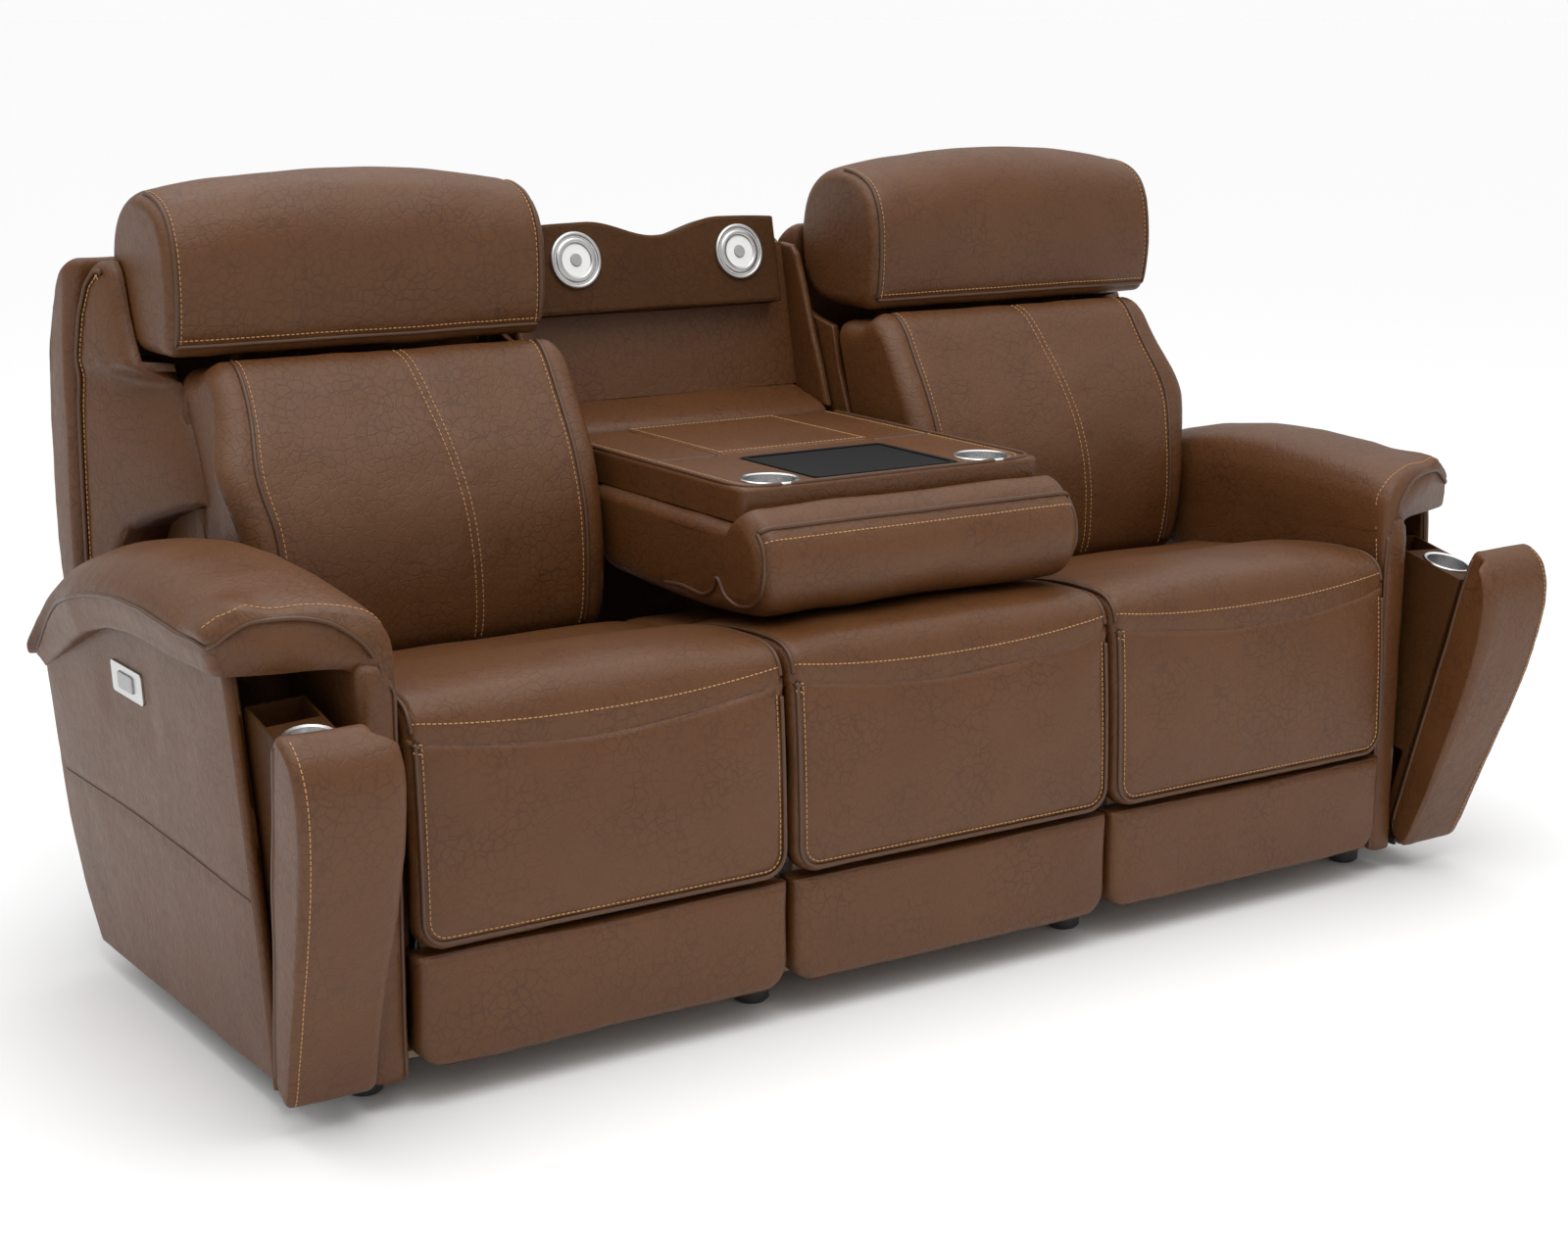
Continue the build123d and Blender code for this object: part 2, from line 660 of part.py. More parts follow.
def drive_block(seat_x):
    """Saddle that the lead screw draws along its track."""
    rear = REAR_RAIL_Y - 24.0 - MOTOR_LENGTH - 20.0
    hole = TRACK_SIDE / 2 + BLOCK_GAP
    outer = hole + BLOCK_WALL
    body = block(seat_x - outer, seat_x + outer, rear - BLOCK_LENGTH, rear, MOTOR_Z - hole, MOTOR_Z + outer)
    body -= block(
        seat_x - hole, seat_x + hole, rear - BLOCK_LENGTH, rear, MOTOR_Z - hole - 1.0, MOTOR_Z + hole
    )
    return body


def back_cushion(side):
    """Back cushion: lumbar bulge below, leaning away to the headrest."""
    start = (BACK_FOOT_Y, BACK_BOTTOM)
    lumbar_z = BACK_BOTTOM + 0.46 * (BACK_TOP - BACK_BOTTOM)
    steps = [
        ((BACK_LUMBAR_Y - 3.0, (BACK_BOTTOM + lumbar_z) / 2), (BACK_LUMBAR_Y + 6.0, lumbar_z)),
        (
            ((BACK_LUMBAR_Y + BACK_HEAD_Y) / 2 - 16.0, (lumbar_z + BACK_TOP) / 2 + 12.0),
            (BACK_HEAD_Y, BACK_TOP),
        ),
        (BACK_HEAD_Y + BACK_THICKNESS * 0.8, BACK_TOP - 30.0),
        (
            (BACK_LUMBAR_Y + BACK_THICKNESS + 70.0, lumbar_z + 30.0),
            (BACK_FOOT_Y + BACK_THICKNESS - 6.0, BACK_BOTTOM),
        ),
    ]
    ends = sorted((side * BACK_SIDE, side * BACK_INNER))
    return padded(ends[0], ends[1], start, steps, BACK_INSET)


def back_shell(side):
    """Upholstered rear shell, wider than the cushion so that it shows as a wing behind the arm."""
    start = (SHELL_FRONT, SHELL_BOTTOM)
    steps = [
        (SHELL_REAR - 36.0, SHELL_BOTTOM),
        ((SHELL_REAR, (SHELL_BOTTOM + SHELL_TOP) / 2), (SHELL_REAR - 22.0, SHELL_TOP - 128.0)),
        ((SHELL_REAR - 70.0, SHELL_TOP - 40.0), (SHELL_REAR - 176.0, SHELL_TOP)),
        (SHELL_REAR - 206.0, SHELL_TOP - 14.0),
        (SHELL_REAR - 200.0, SHELL_TOP - 48.0),
        ((SHELL_FRONT - 20.0, SHELL_TOP - 104.0), (SHELL_FRONT, SHELL_TOP - 200.0)),
    ]
    ends = sorted((side * (BACK_SIDE + SHELL_WING), side * BACK_INNER))
    return padded(ends[0], ends[1], start, steps, SHELL_INSET)


def back_wing(side):
    """Upholstered side wing between a back cushion and its shell, widening towards the rear."""
    rear = SHELL_FRONT - WING_GAP
    inner = BACK_SIDE + WING_GAP
    outer = BACK_SIDE + SHELL_WING - SHELL_INSET
    front = BACK_FOOT_Y + BACK_THICKNESS / 2
    plan = make_face(
        [
            Line((inner, front), (inner + WING_FRONT_WIDTH, front)),
            ThreePointArc(
                (inner + WING_FRONT_WIDTH, front),
                ((inner + outer) / 2 + WING_FRONT_WIDTH, (front + rear) / 2),
                (outer, rear),
            ),
            Line((outer, rear), (inner, rear)),
            Line((inner, rear), (inner, front)),
        ]
    )
    body = Pos(0, 0, BACK_BOTTOM) * extrude(plan, SHELL_TOP - BACK_BOTTOM)
    head = BACK_TOP - 18.0
    start = (BACK_HEAD_Y - 73.0, WING_FOOT + 144.0)
    steps = [
        ((BACK_HEAD_Y - 26.0, (start[1] + head) / 2 + 12.0), (BACK_HEAD_Y + 32.0, head)),
        (BACK_HEAD_Y + 92.0, BACK_TOP + 8.0),
        (BACK_HEAD_Y + 160.0, WING_TOP),
        ((rear - 44.0, SHELL_TOP - 112.0), (rear, SHELL_TOP - 210.0)),
        (rear, WING_FOOT),
        (rear - 36.0, WING_FOOT + 12.0),
        ((rear - 62.0, WING_FOOT + 56.0), (rear - 104.0, WING_FOOT + 96.0)),
        (rear - 208.0, WING_FOOT + 122.0),
    ]
    wing = body & slab(inner, outer + WING_FRONT_WIDTH, start, steps)
    return wing if side > 0 else mirror(wing, Plane.YZ)


def back_lining(side):
    """Covered side of a back behind its cushion, inside the arm."""
    rear = SHELL_FRONT - WING_GAP
    lumbar_z = BACK_BOTTOM + 0.46 * (BACK_TOP - BACK_BOTTOM)
    foot_y = BACK_FOOT_Y + BACK_THICKNESS
    steps = [
        (
            (BACK_LUMBAR_Y + BACK_THICKNESS + 76.0, lumbar_z + 30.0),
            (BACK_HEAD_Y + BACK_THICKNESS * 0.8 + 6.0, BACK_TOP - 32.0),
        ),
        (rear - 60.0, BACK_TOP - 20.0),
        (rear, SHELL_TOP - 210.0),
        (rear, SHELL_BOTTOM + 8.0),
    ]
    outer = side * BACK_SIDE
    return slab(outer - side * LINING, outer, (foot_y, BACK_BOTTOM + 4.0), steps)


def back_frame(side):
    """Plywood side boards and cross rails of a reclining back, with pivot lobes and headrest ears."""
    seat_x = side * SEAT_PITCH
    lumbar_z = BACK_BOTTOM + 0.46 * (BACK_TOP - BACK_BOTTOM)
    rear = SHELL_FRONT - 0.5
    pieces = []
    start = (RECLINE_PIVOT[0] - RECLINE_LOBE, RECLINE_PIVOT[1])
    steps = [
        (
            (RECLINE_PIVOT[0], RECLINE_PIVOT[1] - RECLINE_LOBE),
            (RECLINE_PIVOT[0] + RECLINE_LOBE, RECLINE_PIVOT[1] - 6.0),
        ),
        (BACK_FOOT_Y + BACK_THICKNESS, RECLINE_PIVOT[1] + 4.0),
        (rear, SHELL_BOTTOM + 10.0),
        (rear, SHELL_TOP - 210.0),
        (BACK_HEAD_Y + BACK_THICKNESS * 0.8 + 20.0, BACK_TOP - 34.0),
        (BACK_HEAD_Y + BACK_THICKNESS * 0.8 - BACK_SEAT, BACK_TOP - 34.0),
        (
            (BACK_LUMBAR_Y + BACK_THICKNESS + 74.0 - BACK_SEAT, lumbar_z + 30.0),
            (BACK_FOOT_Y + BACK_THICKNESS + 2.0 - BACK_SEAT, BACK_BOTTOM - 2.0),
        ),
        (RECLINE_PIVOT[0] + RECLINE_LOBE * 0.7, RECLINE_PIVOT[1] + RECLINE_LOBE * 0.7),
        ((RECLINE_PIVOT[0], RECLINE_PIVOT[1] + RECLINE_LOBE), start),
    ]
    outer = PLATE_OFFSET - STEEL_GAP
    inner = outer - BACK_BOARD
    for lean in SIDES.values():
        board = slab(seat_x + lean * inner, seat_x + lean * outer, start, steps)
        board -= pin(
            seat_x + lean * inner, seat_x + lean * outer, RECLINE_PIVOT, RECLINE_PIN_RADIUS + PIN_CLEARANCE
        )
        pieces.append(board)
    for rail_z in (SHELL_BOTTOM + 14.0, lumbar_z + 10.0, SHELL_TOP - 260.0):
        pieces.append(block(seat_x - inner, seat_x + inner, rear - BACK_RAIL, rear, rail_z, rail_z + BACK_RAIL))
    head_rail = (BACK_HEAD_Y + BACK_THICKNESS * 0.8 + 26.0, BACK_TOP - 74.0)
    pieces.append(
        block(
            seat_x - inner, seat_x + inner, head_rail[0], head_rail[0] + BACK_RAIL / 2,
            head_rail[1], head_rail[1] + BACK_RAIL,
        )
    )
    for lean in SIDES.values():
        near = seat_x + lean * HEAD_EAR_OFFSET
        far = near + lean * STEEL
        ear = bar(near, far, HEAD_PIVOT, (head_rail[0] - 8.0, head_rail[1] + BACK_RAIL + 2.0), HEAD_EAR_RADIUS)
        ear += block(
            near, far, head_rail[0] - 20.0, head_rail[0], head_rail[1] + 6.0, head_rail[1] + BACK_RAIL + 6.0
        )
        ear += pin(near, near - lean * (STEEL_GAP + STEEL + 1.0), HEAD_PIVOT, HEAD_PIN_RADIUS)
        pieces.append(ear)
    return pieces


def headrest(side):
    """Headrest pillow: flat front, rolled top, tucked under at the rear."""
    middle = side * (SEAT_PITCH + HEAD_SHIFT)
    start = (HEAD_FRONT + 12.0, HEAD_BOTTOM)
    steps = [
        ((HEAD_FRONT - 8.0, (HEAD_BOTTOM + HEAD_TOP) / 2 - 20.0), (HEAD_FRONT + 14.0, HEAD_TOP - 66.0)),
        ((HEAD_FRONT + 54.0, HEAD_TOP - 12.0), (HEAD_FRONT + 112.0, HEAD_TOP)),
        (((HEAD_FRONT + HEAD_REAR) / 2 + 80.0, HEAD_TOP - 16.0), (HEAD_REAR, HEAD_TOP - 78.0)),
        (HEAD_REAR - 12.0, HEAD_TOP - 104.0),
        (SHELL_REAR - 214.0, SHELL_TOP + 8.0),
        (SHELL_REAR - 226.0, SHELL_TOP - 60.0),
    ]
    return padded(middle - HEAD_WIDTH / 2, middle + HEAD_WIDTH / 2, start, steps, HEAD_INSET)


def headrest_bracket(side):
    """Two steel straps that hang the headrest on its hinge pins."""
    seat_x = side * SEAT_PITCH
    pieces = []
    foot = (HEAD_PIVOT[0] + HEAD_STRAP[0], HEAD_PIVOT[1] + HEAD_STRAP[1])
    for lean in SIDES.values():
        outer = seat_x + lean * (HEAD_EAR_OFFSET - STEEL_GAP)
        inner = outer - lean * STEEL
        strap = bar(inner, outer, HEAD_PIVOT, foot, HEAD_EAR_RADIUS - 2.0)
        strap -= pin(inner, outer, HEAD_PIVOT, HEAD_PIN_RADIUS + PIN_CLEARANCE)
        pieces.append(strap)
    return pieces


def arm_top(raise_by):
    """Arched line that the arm walls reach up to and the cap lies on: front to rear."""
    return [
        (
            (CAP_FRONT + 300.0, ARM_TOP_MIDDLE + raise_by),
            (CAP_FRONT + 560.0, ARM_TOP_REAR + raise_by),
        ),
        (ARM_REAR, ARM_SHOULDER + raise_by),
    ]


def arm_rear():
    """Rear edge of the arm walls, from the shoulder down to the foot."""
    return [((ARM_REAR - 20.0, ARM_SHOULDER - 240.0), (ARM_FOOT_REAR, FOOT_HEIGHT))]


def arm_wall(side):
    """Padded inner wall beside the seat, whose front edge rolls back under the cap."""
    start = (ARM_FRONT, FOOT_HEIGHT)
    steps = [
        (ARM_FRONT, ARM_TOP_FRONT - 78.0),
        ((ARM_FRONT + 20.0, ARM_TOP_FRONT - 24.0), (CAP_FRONT, ARM_TOP_FRONT)),
    ]
    steps += arm_top(0.0)
    steps += arm_rear()
    wall = slab(side * ARM_IN, side * ARM_WALL_OUT, start, steps)
    rail = block(
        side * ARM_WALL_OUT, side * ARM_PANEL_IN, ARM_RAIL_FRONT, ARM_FOOT_REAR - 6.0,
        FOOT_HEIGHT + 1.0, FOOT_HEIGHT + ARM_RAIL_HEIGHT,
    )
    return [wall, rail]


def arm_panel(side):
    """Outer side panel, which leans outwards towards the cap."""
    start = (ARM_PANEL_FRONT, FOOT_HEIGHT)
    steps = [(ARM_PANEL_FRONT, ARM_TOP_FRONT - 6.0)]
    steps += [
        ((CAP_FRONT + 300.0, ARM_TOP_MIDDLE - 7.0), (CAP_FRONT + 560.0, ARM_TOP_REAR - 7.0)),
        (ARM_REAR, ARM_SHOULDER - 7.0),
    ]
    steps += arm_rear()
    panel = slab(side * ARM_PANEL_IN, side * ARM_PANEL_FOOT, start, steps)
    return leaned(panel, side)


def arm_cap(side):
    """Padded arm top: arched along its length, crowned across, overhanging the outer panel."""
    start = (CAP_FRONT, ARM_TOP_FRONT + CAP_GAP)
    top = [
        (CAP_FRONT - 4.0, CAP_FRONT_TOP - 22.0),
        ((CAP_FRONT + 12.0, CAP_FRONT_TOP), (CAP_FRONT + 50.0, CAP_FRONT_TOP + 24.0)),
        ((CAP_FRONT + 260.0, CAP_CROWN), (CAP_FRONT + 590.0, CAP_REAR_TOP)),
        ((CAP_FRONT + 700.0, CAP_REAR_TOP - 88.0), (ARM_REAR + 22.0, ARM_SHOULDER + 40.0)),
        (ARM_REAR, ARM_SHOULDER + CAP_GAP),
    ]
    under = [
        (CAP_FRONT + 560.0, ARM_TOP_REAR + CAP_GAP),
        ((CAP_FRONT + 300.0, ARM_TOP_MIDDLE + CAP_GAP), start),
    ]
    ends = sorted((side * ARM_IN, side * CAP_OUT))
    fixed = [start, (ARM_REAR, ARM_SHOULDER + CAP_GAP)] + corner_points(under[0], under[1:])
    return padded(ends[0], ends[1], start, top + under, CAP_INSET, fixed)


def bin_box(side):
    """Open moulded bin with a cup shelf, on a backing board that ends in the hinge knuckle."""
    inner = side * BIN_IN
    outer = side * (BIN_IN + BIN_WIDTH)
    backing_rear = BIN_BACKING_Y + BIN_BACKING
    lip = BIN_TOP - BIN_WALL
    body = block(inner, outer, backing_rear, BIN_REAR, BIN_BOTTOM, BIN_TOP)
    low_edges = body.edges().filter_by(Axis.X).group_by(Axis.Z)[0]
    body = fillet(low_edges.sort_by(Axis.Y)[-1], BIN_ROUND)
    pocket = block(
        inner + side * BIN_WALL, outer - side * BIN_WALL, backing_rear + BIN_WALL, BIN_REAR - BIN_WALL,
        BIN_BOTTOM + BIN_WALL, lip,
    )
    low_edges = pocket.edges().filter_by(Axis.X).group_by(Axis.Z)[0]
    pocket = fillet(low_edges.sort_by(Axis.Y)[-1], BIN_ROUND - BIN_WALL)
    pocket += block(
        inner + side * BIN_WALL, outer - side * BIN_WALL, backing_rear + BIN_SHELF_DEPTH, BIN_REAR - BIN_WALL,
        lip - BIN_WALL, BIN_TOP + 1.0,
    )
    body -= pocket
    hole = Cylinder(ARM_CUP_RADIUS + CUP_WALL + CUP_FIT, 4 * BIN_WALL)
    body -= Pos(side * BIN_MIDDLE, backing_rear + BIN_SHELF_DEPTH / 2, BIN_TOP) * hole
    body += block(inner, outer, BIN_BACKING_Y, backing_rear, BIN_PIVOT[1] + 3 * BIN_KNUCKLE_RADIUS, BIN_TOP)
    body = leaned(body, side)
    near = side * (BIN_MIDDLE - BIN_KNUCKLE_WIDTH / 2)
    far = side * (BIN_MIDDLE + BIN_KNUCKLE_WIDTH / 2)
    body += block(near, far, BIN_BACKING_Y, backing_rear, BIN_PIVOT[1], BIN_PIVOT[1] + 4 * BIN_KNUCKLE_RADIUS)
    body += block(
        near, far, BIN_PIVOT[0], backing_rear, BIN_PIVOT[1] - BIN_KNUCKLE_RADIUS * 0.6,
        BIN_PIVOT[1] + BIN_KNUCKLE_RADIUS,
    )
    body += pin(near, far, BIN_PIVOT, BIN_KNUCKLE_RADIUS)
    body -= pin(near, far, BIN_PIVOT, BIN_PIN_RADIUS + PIN_CLEARANCE)
    return turned(body, BIN_PIVOT, BIN_OPEN)


def bin_front(side):
    """Padded face of the bin: full at the top, thinning towards the hinge."""
    start = (0.0, BIN_PIVOT[1] + 2.0)
    rear = BIN_BACKING_Y - 0.5
    steps = [
        ((-BIN_PANEL_BULGE * 0.62, BIN_PANEL_TOP * 0.55), (-BIN_PANEL_BULGE, BIN_PANEL_TOP - 70.0)),
        ((-BIN_PANEL_BULGE + 9.0, BIN_PANEL_TOP - 22.0), (12.0, BIN_PANEL_TOP)),
        (rear, BIN_PANEL_TOP - 8.0),
        (rear, BIN_PIVOT[1] + 26.0),
        (16.0, BIN_PIVOT[1] + 2.0),
    ]
    near = side * (BIN_IN + 1.0)
    far = side * (BIN_IN + 1.0 + BIN_PANEL_WIDTH)
    ends = sorted((near, far))
    face = padded(ends[0], ends[1], start, steps, BIN_PANEL_INSET)
    return turned(leaned(face, side), BIN_PIVOT, BIN_OPEN)


def bin_cup(side):
    """Metal cup in the bin's shelf."""
    seat = Pos(side * BIN_MIDDLE, BIN_BACKING_Y + BIN_BACKING + BIN_SHELF_DEPTH / 2, BIN_TOP)
    return turned(leaned(seat * cup(ARM_CUP_RADIUS, ARM_CUP_DEPTH), side), BIN_PIVOT, BIN_OPEN)


def bin_hinge(side):
    """Hinge pin of an arm bin with the two steel straps that hold it to the arm's bottom rail."""
    pieces = pin(
        side * (BIN_MIDDLE - STRAP_OFFSET - STEEL), side * (BIN_MIDDLE + STRAP_OFFSET + STEEL),
        BIN_PIVOT, BIN_PIN_RADIUS,
    )
    for lean in SIDES.values():
        near = side * (BIN_MIDDLE + lean * STRAP_OFFSET)
        far = side * (BIN_MIDDLE + lean * (STRAP_OFFSET + STEEL))
        pieces += block(near, far, BIN_PIVOT[0] - 6.0, ARM_RAIL_FRONT, FOOT_HEIGHT + 1.0, BIN_PIVOT[1] + 6.0)
    return pieces


def table_slab():
    """Wrapped table board with two cup holes, a recess for the mat and its hinge bores."""
    depth = TABLE_REAR - TABLE_FRONT
    board = Pos(0, (TABLE_FRONT + TABLE_REAR) / 2, (TABLE_TOP + TABLE_BOTTOM) / 2) * Box(
        2 * TABLE_HALF_WIDTH, depth, TABLE_THICKNESS
    )
    board = fillet(board.edges().filter_by(Axis.Z), TABLE_CORNER)
    board = fillet(board.edges().group_by(Axis.Z)[-1], 7.0)
    board -= block(
        -MAT_HALF_WIDTH - 1.0, MAT_HALF_WIDTH + 1.0, MAT_FRONT - 1.0, MAT_REAR + 1.0,
        TABLE_TOP - MAT_THICKNESS + 1.5, TABLE_TOP + 1.0,
    )
    hole = Cylinder(TABLE_CUP_RADIUS + CUP_WALL + CUP_FIT, 2 * TABLE_THICKNESS)
    for side in SIDES.values():
        board -= Pos(side * TABLE_CUP_X, TABLE_CUP_Y, TABLE_TOP + TABLE_THICKNESS - TABLE_CUP_DEPTH - 1.0) * hole
        edge = side * TABLE_HALF_WIDTH
        board -= pin(edge, edge - side * (TABLE_PIN_DEPTH + 1.0), TABLE_PIVOT, TABLE_PIN_RADIUS + PIN_CLEARANCE)
    return board


def table_cushion():
    """Padded body under the table, which is the middle seat's back when folded up."""
    top = TABLE_BOTTOM - TABLE_CUSHION_GAP
    start = (TABLE_FRONT - 4.0, top)
    steps = [
        ((TABLE_CUSHION_FRONT + 14.0, top - 2.0), (TABLE_CUSHION_FRONT + 4.0, top - 26.0)),
        (
            (TABLE_CUSHION_FRONT - 2.0, TABLE_CUSHION_BOTTOM + 62.0),
            (TABLE_CUSHION_FRONT + 34.0, TABLE_CUSHION_BOTTOM + 12.0),
        ),
        (
            (TABLE_CUSHION_FRONT + 120.0, TABLE_CUSHION_BOTTOM - 4.0),
            (TABLE_CUSHION_REAR - 40.0, TABLE_CUSHION_BOTTOM + 6.0),
        ),
        (TABLE_CUSHION_REAR, TABLE_CUSHION_BOTTOM + 40.0),
        (TABLE_CUSHION_REAR, top),
    ]
    fixed = [start, steps[-1]]
    return padded(-TABLE_CUSHION_HALF, TABLE_CUSHION_HALF, start, steps, CUSHION_INSET, fixed)


def table_cups():
    """Two metal cups sunk in the table."""
    shape = cup(TABLE_CUP_RADIUS, TABLE_CUP_DEPTH)
    return Compound([Pos(side * TABLE_CUP_X, TABLE_CUP_Y, TABLE_TOP) * shape for side in SIDES.values()])


def table_mat():
    """Rubber tray mat in the table's front recess, with a low raised border."""
    mat = block(
        -MAT_HALF_WIDTH, MAT_HALF_WIDTH, MAT_FRONT, MAT_REAR,
        TABLE_TOP - MAT_THICKNESS + 1.5, TABLE_TOP + 2.0,
    )
    mat = fillet(mat.edges().filter_by(Axis.Z), 12.0)
    return mat - block(
        -MAT_HALF_WIDTH + 8.0, MAT_HALF_WIDTH - 8.0, MAT_FRONT + 8.0, MAT_REAR - 8.0, TABLE_TOP, TABLE_TOP + 3.0
    )


def table_brackets():
    """Steel brackets beside the table, with the hinge pins and their round caps."""
    pieces = []
    steps = [
        ((TABLE_PIVOT[0] - TABLE_LOBE, TABLE_PIVOT[1]), (TABLE_PIVOT[0], TABLE_PIVOT[1] + TABLE_LOBE)),
        (LEDGE_REAR, TABLE_PIVOT[1] + TABLE_LOBE),
        (LEDGE_REAR, LEDGE_BOTTOM + 6.0),
        (LEDGE_FRONT, LEDGE_BOTTOM + 6.0),
    ]
    for side in SIDES.values():
        inner = side * BRACKET_X
        outer = inner + side * STEEL
        plate = slab(inner, outer, (TABLE_PIVOT[0], TABLE_PIVOT[1] - TABLE_LOBE), steps)
        plate += pin(inner, side * (TABLE_HALF_WIDTH - TABLE_PIN_DEPTH), TABLE_PIVOT, TABLE_PIN_RADIUS)
        plate += pin(outer, outer + side * 4.0, TABLE_PIVOT, TABLE_LOBE - 1.0)
        pieces.append(plate)
    return Compound(pieces)


def centre_ledge():
    """Padded ledge that closes the gap between the table's rear edge and the back board."""
    ledge = slab(
        -BRACKET_X, BRACKET_X, (LEDGE_FRONT, LEDGE_BOTTOM),
        [
            (LEDGE_FRONT, LEDGE_TOP - 26.0),
            ((LEDGE_FRONT + 12.0, LEDGE_TOP - 4.0), (LEDGE_FRONT + 40.0, LEDGE_TOP)),
            (LEDGE_REAR, LEDGE_TOP),
            (LEDGE_REAR, LEDGE_BOTTOM),
        ],
    )
    return ledge


def centre_posts():
    """Hardwood posts from the rear base rail up to the ledge."""
    front = LEDGE_FRONT + POST_SETBACK
    pieces = []
    for side in SIDES.values():
        near = side * (POST_OFFSET - POST_WIDTH / 2)
        far = side * (POST_OFFSET + POST_WIDTH / 2)
        pieces.append(block(near, far, front, front + POST_DEPTH, RAIL_TOP, LEDGE_BOTTOM))
    return pieces


def board_lean_y(z):
    """Y of the back board's front face at a height."""
    return BOARD_FOOT_Y + (z - LEDGE_TOP) * math.tan(math.radians(BOARD_LEAN))


def centre_board():
    """Leaning back board behind the table."""
    return slab(
        -BRACKET_X, BRACKET_X, (board_lean_y(LEDGE_TOP), LEDGE_TOP),
        [
            (board_lean_y(BOARD_TOP), BOARD_TOP),
            (board_lean_y(BOARD_TOP) + CENTRE_BOARD, BOARD_TOP),
            (board_lean_y(LEDGE_TOP) + CENTRE_BOARD, LEDGE_TOP),
        ],
    )


def centre_cheeks():
    """Upholstered cheek boards on both sides of the recess."""
    inner = BRACKET_X + 0.3
    rear = board_lean_y(BOARD_TOP) + CENTRE_BOARD
    pieces = []
    for side in SIDES.values():
        pieces.append(
            slab(
                side * inner, side * (inner + CHEEK_THICKNESS), (CHEEK_FRONT, TABLE_TOP + 2.0),
                [
                    ((CHEEK_FRONT + 52.0, LEDGE_TOP + 100.0), (CHEEK_FRONT + 100.0, BOARD_TOP - 16.0)),
                    ((CHEEK_FRONT + 112.0, BOARD_TOP), (rear - 10.0, BOARD_TOP + 2.0)),
                    (rear, BOARD_TOP),
                    (rear, TABLE_TOP + 2.0),
                ],
            )
        )
    return Compound(pieces)


def centre_shell():
    """Upholstered rear shell of the middle back."""
    front = board_lean_y(BOARD_TOP) + CENTRE_BOARD + 0.5
    start = (front, CENTRE_SHELL_TOP - 20.0)
    steps = [
        ((front + 14.0, CENTRE_SHELL_TOP - 4.0), (front + 44.0, CENTRE_SHELL_TOP)),
        (
            (CENTRE_SHELL_REAR - 22.0, CENTRE_SHELL_TOP - 24.0),
            (CENTRE_SHELL_REAR - 4.0, CENTRE_SHELL_TOP - 90.0),
        ),
        (CENTRE_SHELL_REAR, CENTRE_SHELL_BOTTOM + 40.0),
        (CENTRE_SHELL_REAR - 30.0, CENTRE_SHELL_BOTTOM),
        (front, CENTRE_SHELL_BOTTOM),
    ]
    return slab(-CENTRE_SHELL_HALF, CENTRE_SHELL_HALF, start, steps)


def lower_back_panel():
    """Covered board on the centre posts, which closes the middle back below the ledge."""
    front = LEDGE_FRONT + POST_SETBACK - LOWER_BACK_THICKNESS
    return block(
        -CENTRE_SHELL_HALF, CENTRE_SHELL_HALF, front, front + LOWER_BACK_THICKNESS, RAIL_TOP + 2.0, LEDGE_BOTTOM
    )


def lower_rear_panel():
    """Covered board across the rear base rail, low enough to pass under the reclined backs."""
    front = REAR_RAIL_Y + RAIL_WIDTH
    return block(
        -ARM_IN + ARM_GAP, ARM_IN - ARM_GAP, front, front + REAR_PANEL_THICKNESS,
        FOOT_HEIGHT + 8.0, REAR_PANEL_TOP,
    )


def light_plane():
    """Plane on the light panel's front face: local X across, local Y up the lean."""
    lean = math.radians(BOARD_LEAN)
    foot_y = board_lean_y(LIGHT_PANEL_BOTTOM) - LIGHT_PANEL_THICKNESS / math.cos(lean)
    normal = (0, -math.cos(lean), math.sin(lean))
    return Plane(origin=(0, foot_y, LIGHT_PANEL_BOTTOM), x_dir=(1, 0, 0), z_dir=normal)


def light_panel():
    """Padded panel for the reading lights, with a dip in the middle of its top edge."""
    half = LIGHT_PANEL_HALF
    top = LIGHT_PANEL_HEIGHT
    crest = Spline(
        (-half, top - 4.0),
        (-half * 0.55, top),
        (0.0, top - LIGHT_PANEL_DIP),
        (half * 0.55, top),
        (half, top - 4.0),
    )
    face = make_face(
        [
            Line((half, top - 4.0), (half, 0.0)),
            Line((half, 0.0), (-half, 0.0)),
            Line((-half, 0.0), (-half, top - 4.0)),
            crest,
        ]
    )
    panel = extrude(light_plane() * face, -LIGHT_PANEL_THICKNESS + 0.3)
    recess = Cylinder(LIGHT_RADIUS - LIGHT_BEZEL_WIDTH, 2 * LIGHT_BUTTON_HEIGHT)
    for side in SIDES.values():
        panel -= light_plane() * Pos(side * LIGHT_X, LIGHT_RISE, 0) * recess
    return panel


def light_bezel():
    """Turned ring round one reading light."""
    inner = LIGHT_RADIUS - LIGHT_BEZEL_WIDTH
    section = outline(
        (inner, 0.2),
        [
            (inner, LIGHT_BEZEL_HEIGHT * 0.6),
            ((inner + LIGHT_BEZEL_WIDTH * 0.45, LIGHT_BEZEL_HEIGHT), (LIGHT_RADIUS, LIGHT_BEZEL_HEIGHT * 0.3)),
            (LIGHT_RADIUS, 0.2),
        ],
    )
    return revolve(Plane.XZ * section, Axis.Z)


